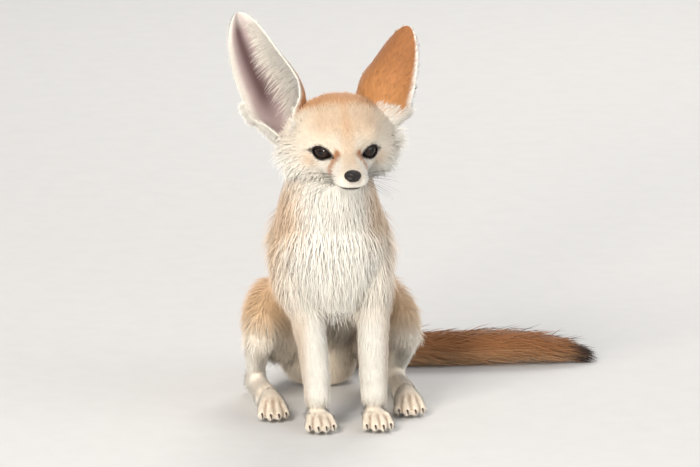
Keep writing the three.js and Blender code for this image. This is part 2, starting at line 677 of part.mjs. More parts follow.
function meshOf(name, body) {
  const { vertProperties, triVerts } = body.getMesh();
  const geometry = new THREE.BufferGeometry();
  geometry.setAttribute("position", new THREE.BufferAttribute(vertProperties, 3));
  geometry.setIndex(new THREE.BufferAttribute(triVerts, 1));
  geometry.computeVertexNormals();
  const mesh = new THREE.Mesh(geometry, materialOf(name));
  mesh.name = name;
  return mesh;
}

// The scene graph: the head's pieces hang in a group of their own
const fox = new THREE.Group();
const headGroup = new THREE.Group();
headGroup.applyMatrix4(HEAD);
fox.add(headGroup);
fox.updateMatrixWorld(true);
const headPieces = /^(head|lower_jaw|nose_pad|eye_|ear_)/;
for (const [name, body] of Object.entries(solids)) {
  const mesh = meshOf(name, body);
  (headPieces.test(name) ? headGroup : fox).attach(mesh);
}
fox.position.set(0, -SEAT_Y, 0);

export default fox;
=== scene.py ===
"""A sitting fennec fox at life size: skin, coat, eyes, nose, claws and whiskers over its fixed solids."""

from __future__ import annotations
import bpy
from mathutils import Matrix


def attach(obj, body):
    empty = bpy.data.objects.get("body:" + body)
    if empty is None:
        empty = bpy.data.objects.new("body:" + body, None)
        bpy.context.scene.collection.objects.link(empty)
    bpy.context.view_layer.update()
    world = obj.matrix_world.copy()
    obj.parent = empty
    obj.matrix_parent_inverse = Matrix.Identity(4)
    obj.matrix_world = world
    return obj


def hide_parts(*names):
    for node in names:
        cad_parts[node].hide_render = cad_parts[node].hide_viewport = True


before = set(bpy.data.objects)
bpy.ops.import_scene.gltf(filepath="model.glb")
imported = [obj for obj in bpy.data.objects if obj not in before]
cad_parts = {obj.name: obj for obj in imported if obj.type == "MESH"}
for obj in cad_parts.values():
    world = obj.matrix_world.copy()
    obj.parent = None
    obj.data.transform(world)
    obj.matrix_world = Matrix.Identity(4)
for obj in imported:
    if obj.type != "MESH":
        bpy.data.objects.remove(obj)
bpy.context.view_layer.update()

import logging
import math
from dataclasses import dataclass
from dataclasses import field
from dataclasses import replace
from enum import Enum

import bpy
import numpy as np
from mathutils import Vector
from mathutils.kdtree import KDTree

LOG = logging.getLogger("fennec")
MM = 0.001
SEAT = np.array([0.0, 62.0, 0.0])  # mm, the frame's origin in the layout of the forms
HEAD_AT = np.array([-4.0, -76.0, 206.0])  # mm, the origin of the head's own places
UP = np.array([0.0, 0.0, 1.0])
BACK = np.array([0.0, 1.0, 0.0])
ATTRIBUTE = "coat_colour"
UV_NAME = "OFBake"
PATCH = 0.003  # of a tuft on the skin's unwrap
SHARP = 0.19  # how far a tuft is shaded by its own faces, against the skin under it
RIDGE = 0.8  # a strand's height against its half width
LOCK_SHARE = 1 / 9  # of the tufts that others gather to
PIECE_FACES = 190000  # the most in one piece of the coat
FLOOR = 0.35  # mm, the lowest that a tuft reaches
SOLE = 0.0006  # m, the lowest that the skin reaches
EYE_REACH = 34.0  # mm from an eye's centre, as far as its lids draw the skin
BLEND_REACH = 6.0  # mm over which one form's coat fades into the next one's
FAR = 99.0  # mm, stands for out of reach
TOES = (-1.5, -0.5, 0.5, 1.5)  # their places across a paw
EAR_SECTIONS = np.array(  # rows of radius in mm and half angle in degrees, from root to tip
    [[11.5, 150], [16.5, 122], [22, 94], [24.8, 76], [25, 66], [23.5, 56], [20.5, 46], [17, 38]], dtype=float
)
MOUTH = np.array([[-72, -19.4], [-62, -19.9], [-52, -20], [-44, -19.2], [-37, -17.6]])  # y and z at the slot
LIPS = ([-66, -52, -44, -37], [-19.9, -20, -19.2, -17.6])  # y, and z, of the dark line along it
STREAK_LINE = np.array(  # from the left eye to the muzzle
    [[8.6, -37.5, -1.6], [10.2, -39.5, -6.0], [12.2, -39, -11.0], [14.2, -35, -16.5]]
)
Array = np.ndarray
Piece = bpy.types.Object
Tree = bpy.types.NodeTree
Point = tuple[float, float, float]
Bump = tuple[Point, float, Point]


def to_world(points: Array) -> Array:
    """Turns layout millimetres into the frame's metres."""
    return (np.asarray(points, float) - SEAT) * MM


def to_layout(points: Array) -> Array:
    """Turns the frame's metres into layout millimetres."""
    return np.asarray(points, float) / MM + SEAT


def unit(vectors: Array) -> Array:
    """Scales vectors to length one."""
    size = np.linalg.norm(vectors, axis=-1, keepdims=True)
    return vectors / np.maximum(size, 1e-9)


def smooth(low: float, high: float, value: Array) -> Array:
    """A soft step from 0 at low to 1 at high."""
    t = np.clip((value - low) / (high - low), 0.0, 1.0)
    return t * t * (3.0 - 2.0 * t)


def blob(points: Array, centre: Point, reach: float) -> Array:
    """A soft round spot of influence round a centre."""
    return np.exp(-np.sum((points - np.array(centre)) ** 2, axis=1) / reach**2)


def paint(red: int, green: int, blue: int) -> Array:
    """A colour given on the usual 0 to 255 screen scale, as linear light."""
    value = np.array([red, green, blue], float) / 255.0
    return np.where(value <= 0.04045, value / 12.92, ((value + 0.055) / 1.055) ** 2.4)


def mix(first: Array, second: Array, share: Array) -> Array:
    """Blends two colours, or rows of colours, by a share per row."""
    return first + (second - first) * np.asarray(share)[:, None]


class Palette:
    """The coat's colours."""

    CREAM = paint(241, 225, 202)
    WHITE = paint(251, 244, 231)
    PEACH = paint(228, 190, 150)
    SAND = paint(219, 182, 140)
    RUST = paint(165, 108, 63)
    CROWN = paint(205, 143, 85)
    STREAK = paint(184, 118, 64)
    DARK = paint(44, 31, 24)
    MAUVE = paint(186, 167, 163)
    # the ear cup's darker skin, taken darker still as painted shade
    EAR_DARK_AND_SHADE = paint(88, 61, 62)
    BROWN = paint(122, 84, 54)


PALE = {"top": Palette.CREAM, "under": Palette.WHITE}  # of the forms without a darker upper side


# ---- lines through points


def catmull(points: Array, t: Array) -> Array:
    """Reads a centripetal Catmull-Rom line.

    Args:
        points: the points that it runs through, one per row.
        t: places along it, 0 to 1.

    Returns:
        One point per place.
    """
    points = np.asarray(points, float)
    ends = np.vstack([2 * points[0] - points[1], points, 2 * points[-1] - points[-2]])
    place = np.clip(t, 0.0, 1.0) * (len(points) - 1)
    start = np.minimum(place.astype(int), len(points) - 2)
    w = (place - start)[:, None]
    a, b, c, d = (ends[start + k] for k in range(4))
    gaps = [np.sqrt(np.linalg.norm(q - p, axis=1, keepdims=True)) for p, q in ((a, b), (b, c), (c, d))]
    middle = np.where(gaps[1] < 1e-4, 1.0, gaps[1])
    before = np.where(gaps[0] < 1e-4, middle, gaps[0])
    after = np.where(gaps[2] < 1e-4, middle, gaps[2])
    slope_b = ((b - a) / before - (c - a) / (before + middle) + (c - b) / middle) * middle
    slope_c = ((c - b) / middle - (d - b) / (middle + after) + (d - c) / after) * middle
    cubic = 2 * b - 2 * c + slope_b + slope_c
    square = -3 * b + 3 * c - 2 * slope_b - slope_c
    return b + slope_b * w + square * w**2 + cubic * w**3


def heading(points: Array, t: Array, step: float) -> Array:
    """The way such a line runs at each place, read over a short step to both sides."""
    return unit(catmull(points, np.minimum(t + step, 1)) - catmull(points, np.maximum(t - step, 0)))


@dataclass
class Station:
    """One section of a form: its centre, half sizes, the coat's depth and its hair's length, in mm."""

    centre: Point
    wide: float
    up: float
    down: float
    depth: float
    hair: float


@dataclass
class Form:
    """A round closed form strung through stations, as the solids have it, with the coat that it wears."""

    name: str
    stations: list[Station]
    domes: tuple[float, float] = (8.0, 8.0)
    hint: Array = field(default_factory=lambda: BACK)
    towards: float = 1.0
    lie: Point = (0.0, 0.0, 0.0)
    top: Array = field(default_factory=lambda: Palette.SAND)
    under: Array = field(default_factory=lambda: Palette.CREAM)
    turn: tuple[float, float] = (-0.5, 0.5)
    offset: Array = field(default_factory=lambda: np.zeros(3))
    bumps: list[Bump] = field(default_factory=list)

    def section(self, t: Array) -> tuple[Array, Array, Array, Array, Array]:
        """Reads the form along its length.

        Args:
            t: places along it, 0 to 1.

        Returns:
            Centres, tangents, sides, ups, and rows of wide, up, down, depth, hair.
        """
        centres = np.array([s.centre for s in self.stations]) + self.offset
        sizes = np.array([[s.wide, s.up, s.down, s.depth, s.hair] for s in self.stations])
        tangents = heading(centres, t, 1e-4)
        sides = unit(np.cross(self.hint, tangents))
        read = np.hstack([catmull(sizes[:, :3], t), catmull(sizes[:, 3:], t)])
        return catmull(centres, t), tangents, sides, np.cross(tangents, sides), read

    def mirrored(self, name: str) -> Form:
        """The same form on the body's other side."""
        stations = [replace(s, centre=(-s.centre[0], *s.centre[1:])) for s in self.stations]
        return replace(self, name=name, stations=stations, lie=(-self.lie[0], *self.lie[1:]))

    def build(self, segments: int = 40, rows: int = 44) -> Piece:
        """Makes the skin's share of this form from a sphere.

        Args:
            segments: faces round it.
            rows: faces along it.

        Returns:
            The new object, in metres.
        """
        bpy.ops.mesh.primitive_uv_sphere_add(segments=segments, ring_count=rows, radius=1.0)
        ball = bpy.context.object
        points = read_points(ball)
        row = np.arccos(np.clip(points[:, 2], -1, 1)) / math.pi * rows
        angle = np.arctan2(points[:, 1], points[:, 0])
        dome_rows = 8
        t = np.clip((row - dome_rows) / (rows - 2 * dome_rows), 0.0, 1.0)
        start = row < dome_rows
        in_dome = start | (row > rows - dome_rows)
        rise = np.where(in_dome, np.where(start, row, rows - row) / dome_rows * math.pi / 2, math.pi / 2)
        centres, tangents, sides, ups, size = self.section(t)
        inset = size[:, 3]
        lift = np.sin(angle)
        across = np.cos(angle) * np.sin(rise) * (size[:, 0] - inset)
        height = lift * np.sin(rise) * (np.where(lift > 0, size[:, 1], size[:, 2]) - inset)
        reach = np.where(start, self.domes[0], self.domes[1]) - inset
        beyond = np.where(in_dome, np.cos(rise) * np.maximum(reach, 1.0) * np.where(start, -1, 1), 0.0)
        placed = centres + tangents * beyond[:, None] + sides * across[:, None] + ups * height[:, None]
        local = placed - self.offset
        for centre, spread, push in self.bumps:
            local += blob(local, centre, spread)[:, None] * np.array(push)
        write_points(ball, to_world(local + self.offset))
        return ball


# ---- small mesh helpers


def read_points(piece: Piece) -> Array:
    """The piece's vertices as rows."""
    flat = np.empty(len(piece.data.vertices) * 3)
    piece.data.vertices.foreach_get("co", flat)
    return flat.reshape(-1, 3)


def write_points(piece: Piece, points: Array) -> None:
    """Moves the piece's vertices."""
    piece.data.vertices.foreach_set("co", np.ascontiguousarray(points, dtype=np.float32).ravel())
    piece.data.update()


def vertex_normals(piece: Piece) -> Array:
    """The piece's vertex normals as rows."""
    flat = np.empty(len(piece.data.vertices) * 3, dtype=np.float32)
    piece.data.vertex_normals.foreach_get("vector", flat)
    return flat.reshape(-1, 3).astype(float)


def select_only(*pieces: Piece) -> None:
    """Makes these the only selected objects, the first one active."""
    bpy.ops.object.select_all(action="DESELECT")
    for piece in pieces:
        piece.select_set(True)
    bpy.context.view_layer.objects.active = pieces[0]


def rename(piece: Piece, name: str) -> None:
    """Gives a piece and its mesh one name."""
    piece.name = name
    piece.data.name = name


def joined(name: str, pieces: list[Piece]) -> Piece:
    """Joins pieces into one object of that name."""
    select_only(*pieces)
    bpy.ops.object.join()
    whole = bpy.context.object
    rename(whole, name)
    return whole


def ball_at(centre: Array, radius: float, segments: int, rings: int) -> Piece:
    """A ball of that radius in mm round a layout place."""
    bpy.ops.mesh.primitive_uv_sphere_add(segments=segments, ring_count=rings, radius=radius * MM)
    ball = bpy.context.object
    write_points(ball, read_points(ball) + to_world(centre))
    return ball


def apply_modifier(piece: Piece, kind: str, **settings: object) -> None:
    """Adds a modifier with these settings and applies it."""
    select_only(piece)
    modifier = piece.modifiers.new(kind.title(), kind)
    for key, value in settings.items():
        setattr(modifier, key, value)
    bpy.ops.object.modifier_apply(modifier=modifier.name)


def turn_outwards(piece: Piece) -> None:
    """Makes the faces of a closed piece point outwards."""
    select_only(piece)
    bpy.ops.object.mode_set(mode="EDIT")
    bpy.ops.mesh.select_all(action="SELECT")
    bpy.ops.mesh.normals_make_consistent(inside=False)
    bpy.ops.object.mode_set(mode="OBJECT")


def shade_smooth(piece: Piece) -> None:
    """Shades all faces smooth."""
    select_only(piece)
    bpy.ops.object.shade_smooth()


def mesh_piece(name: str, points: Array, triangles: Array) -> Piece:
    """A new object from arrays.

    Args:
        name: its name.
        points: vertices in metres.
        triangles: rows of three vertex numbers.

    Returns:
        The object, linked to the scene.
    """
    mesh = bpy.data.meshes.new(name)
    mesh.vertices.add(len(points))
    mesh.vertices.foreach_set("co", np.ascontiguousarray(points, dtype=np.float32).ravel())
    mesh.loops.add(len(triangles) * 3)
    mesh.loops.foreach_set("vertex_index", np.ascontiguousarray(triangles, dtype=np.int32).ravel())
    mesh.polygons.add(len(triangles))
    mesh.polygons.foreach_set("loop_start", np.arange(0, len(triangles) * 3, 3, dtype=np.int32))
    mesh.update(calc_edges=True)
    mesh.shade_smooth()
    piece = bpy.data.objects.new(name, mesh)
    bpy.context.scene.collection.objects.link(piece)
    return piece


def set_colours(piece: Piece, colours: Array) -> None:
    """Writes linear colours, one per vertex."""
    layer = piece.data.color_attributes.new(ATTRIBUTE, "FLOAT_COLOR", "POINT")
    full = np.ones((len(colours), 4), dtype=np.float32)
    full[:, :3] = np.clip(colours, 0.0, 1.0)
    layer.data.foreach_set("color", full.ravel())


def write_mark(piece: Piece, name: str, rows: Array) -> None:
    """Keeps three numbers at each vertex."""
    layer = piece.data.attributes.new(name, "FLOAT_VECTOR", "POINT")
    layer.data.foreach_set("vector", np.ascontiguousarray(rows, dtype=np.float32).ravel())


def read_mark(piece: Piece, name: str) -> Array:
    """Reads three numbers at each vertex."""
    flat = np.empty(len(piece.data.vertices) * 3, dtype=np.float32)
    piece.data.attributes[name].data.foreach_get("vector", flat)
    return flat.reshape(-1, 3).astype(float)


def grid_triangles(columns: int, rows: int, wrap: bool) -> Array:
    """Triangles between rows of points.

    Args:
        columns: points in each row.
        rows: number of rows.
        wrap: whether each row closes on itself.

    Returns:
        Rows of three point numbers.
    """
    c = np.arange(columns if wrap else columns - 1)
    r = np.arange(rows - 1)[:, None]
    following = (c + 1) % columns
    a, b = r * columns + c, r * columns + following
    d, e = (r + 1) * columns + c, (r + 1) * columns + following
    first = np.stack([a, b, e], axis=-1).reshape(-1, 3)
    second = np.stack([a, e, d], axis=-1).reshape(-1, 3)
    return np.vstack([first, second])


def wall_triangles(ring: Array, offset: int) -> Array:
    """Triangles between a closed ring of points and its twin, that many point numbers further on."""
    following = np.roll(ring, -1)
    first = np.stack([ring, following, following + offset], axis=1)
    second = np.stack([ring, following + offset, ring + offset], axis=1)
    return np.vstack([first, second])


def tube(name: str, path: Array, radii: Array, around: int = 10, closed: bool = False) -> Piece:
    """A round tube along a path.

    Args:
        name: the piece's name.
        path: points in metres.
        radii: its radius at each point, in metres.
        around: points round it.
        closed: whether it ends where it starts.

    Returns:
        The object, closed at both ends.
    """
    path = np.asarray(path, float)
    if closed:
        tangents = unit(np.roll(path, -1, axis=0) - np.roll(path, 1, axis=0))
    else:
        tangents = unit(np.gradient(path, axis=0))
    middle = path.mean(axis=0)
    spread = np.linalg.svd(path - middle)[2][2]
    sides = unit(np.cross(tangents, spread))
    ups = np.cross(sides, tangents)
    turn = np.arange(around) * 2 * math.pi / around
    ring = sides[:, None] * np.cos(turn)[None, :, None] + ups[:, None] * np.sin(turn)[None, :, None]
    points = (path[:, None] + ring * np.asarray(radii)[:, None, None]).reshape(-1, 3)
    rows = len(path)
    if closed:
        triangles = grid_triangles(around, rows + 1, True) % (rows * around)
    else:
        triangles = grid_triangles(around, rows, True)
        caps = []
        for centre, start in ((rows * around, 0), (rows * around + 1, (rows - 1) * around)):
            caps += [[centre, start + k, start + (k + 1) % around] for k in range(around)]
        triangles = np.vstack([triangles, caps])
        points = np.vstack([points, path[0], path[-1]])
    piece = mesh_piece(name, points, triangles)
    turn_outwards(piece)
    return piece


# ---- the body's forms


def mirror_bumps(entries: list[tuple]) -> list[tuple]:
    """Each bump and its twin on the other side."""
    twins = [((-c[0], c[1], c[2]), r, (-p[0], p[1], p[2])) for c, r, p in entries]
    return entries + twins


def strung(name: str, *rows: tuple, **looks: object) -> Form:
    """A form through rows of centre, wide, up, down, depth and hair."""
    return Form(name, [Station(*row) for row in rows], **looks)


def core_forms() -> list[Form]:
    """Torso, chest, neck and head."""
    torso = strung(
        "torso",
        ((0, 68, 28), 36, 32, 36, 7, 17),
        ((0, 48, 60), 43, 40, 38, 8, 19),
        ((-2, 12, 94), 44, 45, 42, 8, 19),
        ((-5, -18, 118), 41, 43, 41, 8, 19),
        ((-7, -42, 140), 39, 37, 35, 8, 20),
        ((-8, -54, 156), 36, 32, 29, 8, 20),
        domes=(30, 8),
        towards=-1,
    )
    chest = strung(
        "chest",
        ((-8, -56, 157), 36, 24, 27, 8, 23),
        ((-8, -61, 140), 39, 25, 28, 9, 24),
        ((-7, -61, 118), 39, 25, 27, 10, 24),
        ((-3, -55, 94), 33, 22, 20, 9, 20),
        domes=(14, 15),
        **PALE,
    )
    neck = strung(
        "neck",
        ((-8, -48, 146), 39, 34, 33, 7, 23),
        ((-9, -57, 168), 38, 34, 32, 8, 22),
        ((-8, -64, 190), 34, 31, 27, 8, 19),
        ((-6, -67, 204), 29, 27, 22, 6, 16),
        domes=(10, 8),
        towards=-1,
        under=Palette.WHITE,
        turn=(-0.1, 0.75),
    )
    head = strung(
        "head",
        ((0, 32, 5), 22, 22, 20, 4.5, 11),
        ((0, 20, 4), 36, 32, 28, 4.5, 10),
        ((0, 5, 3), 42, 36, 32, 4.2, 9),
        ((0, -9, 1), 37, 33.5, 29.5, 3.2, 7),
        ((0, -19, -1), 28, 27, 24, 2.2, 4.6),
        ((0, -28, -5), 19.5, 18.5, 18.5, 1.4, 3.2),
        ((0, -37, -9.5), 13.5, 12, 14, 1.0, 2.6),
        ((0, -47, -12.3), 11.3, 9.6, 11.8, 0.8, 2.0),
        ((0, -58, -13.4), 9, 7.2, 8.6, 0.6, 1.4),
        domes=(12, 4),
        hint=UP,
        towards=-1,
        offset=HEAD_AT,
        bumps=mirror_bumps(
            [
                ((17, -27, 10), 8, (1.2, -1.4, 1.4)),
                ((9, -52, -16.5), 6.5, (2.2, -0.5, -0.6)),
                ((36, 2, -18), 14, (4, 0, -3)),
            ]
        ),
        **PALE,
    )
    return [torso, chest, neck, head]


def foreleg_forms() -> list[Form]:
    """The upper arm and the forearm of each side."""
    arms = {
        "left": [(20, -24, 146), (24, -48, 126), (24, -60, 106), (23, -60, 86)],
        "right": [(-32, -24, 146), (-38, -46, 126), (-38, -57, 106), (-30, -59, 86)],
    }
    forearms = {
        "left": [(22, -62, 84), (20.5, -68, 62), (20, -74, 38), (20, -79, 20)],
        "right": [(-28, -61, 84), (-24, -67, 62), (-21.5, -73, 38), (-21, -78, 20)],
    }
    arm_sizes = {
        "left": [(12, 16, 16), (14, 20, 20), (14, 17, 18), (12.5, 15, 14)],
        "right": [(12, 16, 16), (15, 20, 20), (15, 18, 18), (12.5, 15, 14)],
    }
    forearm_sizes = [(13, 14.5, 13), (12.2, 12.5, 11.5), (11.4, 11, 10.5), (11, 10.5, 10)]
    forms = []
    for side in arms:
        rows = zip(arms[side], arm_sizes[side], (6, 6, 5, 3), (16, 15, 13, 9))
        upper = [(centre, *sizes, depth, hair) for centre, sizes, depth, hair in rows]
        forms.append(strung("upper_arm_" + side, *upper, turn=(-0.9, 0.6)))
        rows = zip(forearms[side], forearm_sizes, (3, 2.6, 2.2, 1.8), (9, 6.5, 5.5, 4.5))
        lower = [(centre, *sizes, depth, hair) for centre, sizes, depth, hair in rows]
        forms.append(strung("forearm_" + side, *lower, domes=(6, 5), **PALE))
    return forms


def hind_leg_forms() -> list[Form]:
    """Thigh, shank and foot, each for both sides."""
    thigh = strung(
        "thigh_left",
        ((20, 58, 54), 22, 30, 34, 6, 14),
        ((34, 38, 56), 24, 36, 36, 6, 14),
        ((45, 14, 58), 20, 29, 27, 5, 13),
        ((52, -7, 60), 14, 16, 17, 4, 10),
        domes=(14, 10),
        hint=UP,
        lie=(0.1, 0.25, -1.0),
        towards=0.0,
        turn=(-0.7, 0.9),
    )
    shank = strung(
        "shank_left",
        ((54, -8, 54), 12, 13, 13, 3, 9),
        ((53, 14, 33), 10, 11, 11, 2.2, 7),
        ((51, 34, 17), 8, 9, 10, 1.8, 5),
        domes=(6, 6),
        hint=UP,
        **PALE,
    )
    foot = strung(
        "hind_foot_left",
        ((51, 40, 10), 8.5, 10, 12, 1.5, 4.5),
        ((50.5, 8, 10), 8.5, 9.5, 12, 1.5, 4.2),
        ((50, -22, 10), 10.5, 12, 12, 1.5, 4.2),
        domes=(7, 6),
        hint=UP,
        **PALE,
    )
    forms = []
    for form in (thigh, shank, foot):
        forms += [form, form.mirrored(form.name.replace("left", "right"))]
    return forms


def tail_form() -> Form:
    """The tail, laid along the floor."""
    return strung(
        "tail",
        ((1, 84, 30), 12, 12, 12, 4.5, 14),
        ((12, 100, 23), 14, 13, 17, 6, 20),
        ((38, 109, 17), 15.5, 14.5, 18, 8, 26),
        ((74, 111, 16.5), 17, 15.5, 18, 9, 29),
        ((112, 110, 16.5), 17.5, 16, 18, 9.5, 30),
        ((150, 108, 16), 17, 15.5, 17, 9.5, 29),
        ((182, 106, 13.5), 12, 11, 14, 7.5, 22),
        ((200, 105, 9), 5, 5.5, 9, 3.2, 12),
        domes=(8, 5),
        hint=UP,
        top=Palette.RUST,
        under=Palette.SAND,
        turn=(-0.9, 0.1),
    )


def body_forms() -> list[Form]:
    """All forms of the body, with the sizes that the solids have."""
    feet = [form for paw in all_paws() for form in paw.forms()]
    return [*core_forms(), *foreleg_forms(), *hind_leg_forms(), *feet, tail_form()]


@dataclass
class Paw:
    """A paw: a low pad with four toes, each ending in a claw."""

    name: str
    centre: Array
    height: float
    width: float = 24.0
    toe: float = 4.6

    def toe_line(self, place: float) -> tuple[Array, Array]:
        """The root and tip of the toe at a place from -1.5 to 1.5 across the paw."""
        x, y, z = self.centre
        spread = place * self.width / 4.15
        forward = y - (19.5 if abs(place) < 1 else 15.5)
        return np.array([x + spread * 0.75, y - 6, z + 1.5]), np.array([x + spread, forward, self.toe + 0.4])

    def forms(self) -> list[Form]:
        """The pad and the toes."""
        x, y, z = self.centre
        half = self.width / 2
        pad = [
            Station((x, y + 6, z), half - 2.5, self.height - z - 1, z + 1, 1.2, 4),
            Station((x, y - 7, z - 1), half - 0.8, self.height - z - 2.5, z + 1, 1.2, 3.4),
        ]
        made = [Form(self.name + "_pad", pad, domes=(8, 6), hint=UP, **PALE)]
        for number, place in enumerate(TOES):
            root, tip = self.toe_line(place)
            wide = self.toe - 0.3
            stations = [
                Station(tuple(root), wide, self.toe, self.toe + 2, 1.3, 3),
                Station(tuple(tip), wide, self.toe, self.toe, 1.1, 2.2),
            ]
            made.append(Form(f"{self.name}_toe_{number}", stations, domes=(3, 3.4), hint=UP, **PALE))
        return made

    def claws(self) -> list[Piece]:
        """Four short curved claws."""
        made = []
        s = np.linspace(0, 1, 9)
        radii = 0.85 * (1 - s) ** 0.55 + 0.1
        for place in TOES:
            x, y, z = self.toe_line(place)[1]
            curve = z + 1.2 + 0.7 * np.sin(s * 2.4) - 3.0 * s**2
            path = np.stack([np.full_like(s, x), y - 1.0 - 4.6 * s, curve], axis=1)
            made.append(tube("claw", to_world(path), radii * MM, 9))
        return made


def all_paws() -> list[Paw]:
    """The four paws."""
    return [
        Paw("forepaw_left", np.array([20.0, -82, 9]), 18.0),
        Paw("forepaw_right", np.array([-21.0, -81, 9]), 18.0),
        Paw("hind_paw_left", np.array([49.5, -38, 10]), 23.0),
        Paw("hind_paw_right", np.array([-49.5, -38, 10]), 23.0),
    ]


@dataclass
class Reading:
    """What the body says at some points: each form's share, the hair's lie and length, and colours."""

    shares: Array
    lie: Array
    hair: Array
    colour: Array


class Body:
    """Reads the forms at any point near their surface."""

    def __init__(self, forms: list[Form]) -> None:
        """Samples each form along its length."""
        self.forms = forms
        self.names = [form.name for form in forms]
        self.places = np.linspace(0, 1, 41)
        self.samples = [form.section(self.places) for form in forms]

    def read(self, points: Array) -> Reading:
        """Reads the forms at points.

        Args:
            points: rows of layout millimetres.

        Returns:
            The blended reading, one row per point.
        """
        count = len(points)
        shares = np.zeros((count, len(self.forms)))
        lie = np.zeros((count, 3))
        hair = np.zeros(count)
        colour = np.zeros((count, 3))
        for k, (form, (centres, tangents, sides, ups, size)) in enumerate(zip(self.forms, self.samples)):
            far = np.sum(points**2, axis=1)[:, None] - 2 * points @ centres.T + np.sum(centres**2, axis=1)
            nearest = np.argmin(far, axis=1)
            away = points - centres[nearest]
            u = np.sum(away * sides[nearest], axis=1)
            v = np.sum(away * ups[nearest], axis=1)
            beyond = np.abs(np.sum(away * tangents[nearest], axis=1))
            wide = size[nearest, 0]
            high = np.where(v > 0, size[nearest, 1], size[nearest, 2])
            ratio = np.sqrt((u / wide) ** 2 + (v / high) ** 2)
            dome = np.where(nearest == 0, form.domes[0], form.domes[1])
            ends = (nearest == 0) | (nearest == len(self.places) - 1)
            ratio = np.where(ends, np.sqrt(ratio**2 + (beyond / dome) ** 2), ratio)
            outside = np.maximum(ratio - 0.75, 0.0) * np.minimum(wide, high)
            share = np.exp(-((outside / BLEND_REACH) ** 2)) + 1e-9
            flow = tangents[nearest] * form.towards + np.array(form.lie)
            shares[:, k] = share
            lie += share[:, None] * unit(flow)
            hair += share * size[nearest, 4]
            colour += share[:, None] * mix(form.under, form.top, smooth(*form.turn, v / high))
        total = shares.sum(axis=1)
        return Reading(shares / total[:, None], unit(lie), hair / total, colour / total[:, None])

    def share_of(self, reading: Reading, *prefixes: str) -> Array:
        """The share of all forms whose names start with one of the prefixes."""
        chosen = [name.startswith(prefixes) for name in self.names]
        return reading.shares[:, chosen].sum(axis=1)


# ---- ears


@dataclass
class Ear:
    """A cupped ear: a sheet of arcs round a back line, as in the solids, a little thinner."""

    name: str
    line: list[Point]
    opening: Point
    front: int
    thickness: float = 1.7
    rim: float = 0.7
    round_from: float = 0.8
    columns: int = 64
    rows: int = 72

    def spine(self, along: Array) -> tuple[Array, ...]:
        """The back line, its tangents, the ways across and out of the cup, its radius and its half angle."""
        line = np.array(self.line, float) + HEAD_AT
        tangents = heading(line, along, 1e-3)
        across = unit(np.cross(tangents, np.array(self.opening)))
        radius, half = catmull(EAR_SECTIONS, along).T
        return catmull(line, along), tangents, across, np.cross(across, tangents), radius, half

    def room(self, points: Array) -> Array:
        """How far points are inside the cup's wall, in mm; FAR in its open side."""
        back, tangents, _, opened, radius, half = self.spine(np.linspace(0, 1, 50))
        centres = back + opened * radius[:, None]
        far = np.sum((points[:, None] - centres[None]) ** 2, axis=2)
        k = np.argmin(far, axis=1)
        away = points - centres[k]
        away -= tangents[k] * np.sum(away * tangents[k], axis=1, keepdims=True)
        size = np.linalg.norm(away, axis=1)
        turn = np.arccos(np.clip(-np.sum(away * opened[k], axis=1) / np.maximum(size, 1e-6), -1, 1))
        return np.where(turn < np.radians(half[k]) + 0.2, radius[k] - size, FAR)

    def frame(self, place: Array, along: Array) -> tuple[Array, Array, Array]:
        """Reads the ear's middle surface.

        Args:
            place: from -1 to 1 between the rims.
            along: from 0 at the root to 1 at the tip.

        Returns:
            Points in layout millimetres, the ways out of the cup, and tangents towards the tip.
        """
        back, tangents, across, opened, radius, half = self.spine(along)
        rounding = np.maximum(0.0, (along - self.round_from) / (1 - self.round_from))
        turn = place * np.radians(half) * np.sqrt(1.02 - rounding**2)
        out = across * np.sin(turn)[:, None] - opened * np.cos(turn)[:, None]
        return back + opened * radius[:, None] + out * radius[:, None], out, tangents

    def build(self) -> Piece:
        """Makes the closed sheet, with attributes that tell its places."""
        steps = 1 - (1 - np.linspace(0, 1, self.rows)) ** 1.3
        place, along = (grid.ravel() for grid in np.meshgrid(np.linspace(-1, 1, self.columns), steps))
        middle, out, _ = self.frame(place, along)
        sink = 0.3 * smooth(0.1, 0.0, along) * smooth(0.95, 0.5, np.abs(place))
        middle += sink[:, None] * (HEAD_AT + np.array([0.0, 4.0, 0.0]) - middle)
        thick = self.rim + (self.thickness - self.rim) * (1 - np.maximum(place**2, along))
        outer = middle + out * (thick * 0.3)[:, None]
        inner = middle - out * (thick * 0.7)[:, None]
        count = len(outer)
        sheet = grid_triangles(self.columns, self.rows, False)
        ring = np.concatenate(
            [
                np.arange(self.columns),
                np.arange(1, self.rows) * self.columns + self.columns - 1,
                (self.rows - 1) * self.columns + np.arange(self.columns - 2, -1, -1),
                np.arange(self.rows - 2, 0, -1) * self.columns,
            ]
        )
        triangles = np.vstack([sheet[:, ::-1], sheet + count, wall_triangles(ring, count)])
        piece = mesh_piece(self.name, to_world(np.vstack([outer, inner])), triangles)
        turn_outwards(piece)
        marks = np.stack([np.tile(place, 2), np.tile(along, 2), np.repeat([1.0, -1.0], count)], axis=1)
        write_mark(piece, "ear_place", marks)
        write_mark(piece, "ear_name", np.tile([float(self.front), 1.0, 0.0], (count * 2, 1)))
        return piece


def both_ears() -> list[Ear]:
    """The fox's right ear, open to the front, and its left one, turned back."""
    right = [(-24, 24, 4), (-30, 31, 22), (-38, 33, 39), (-49, 31, 56), (-60, 28, 74), (-70, 27, 92)]
    left = [(17, 6, 4), (18, 5, 20), (22, 6, 36), (31, 8, 51), (41, 12, 66), (51, 16, 81)]
    return [
        Ear("ear_right", right, (-0.62, -0.79, 0.1), 1),
        Ear("ear_left", left, (0.77, 0.63, -0.1), -1),
    ]


# ---- eyes


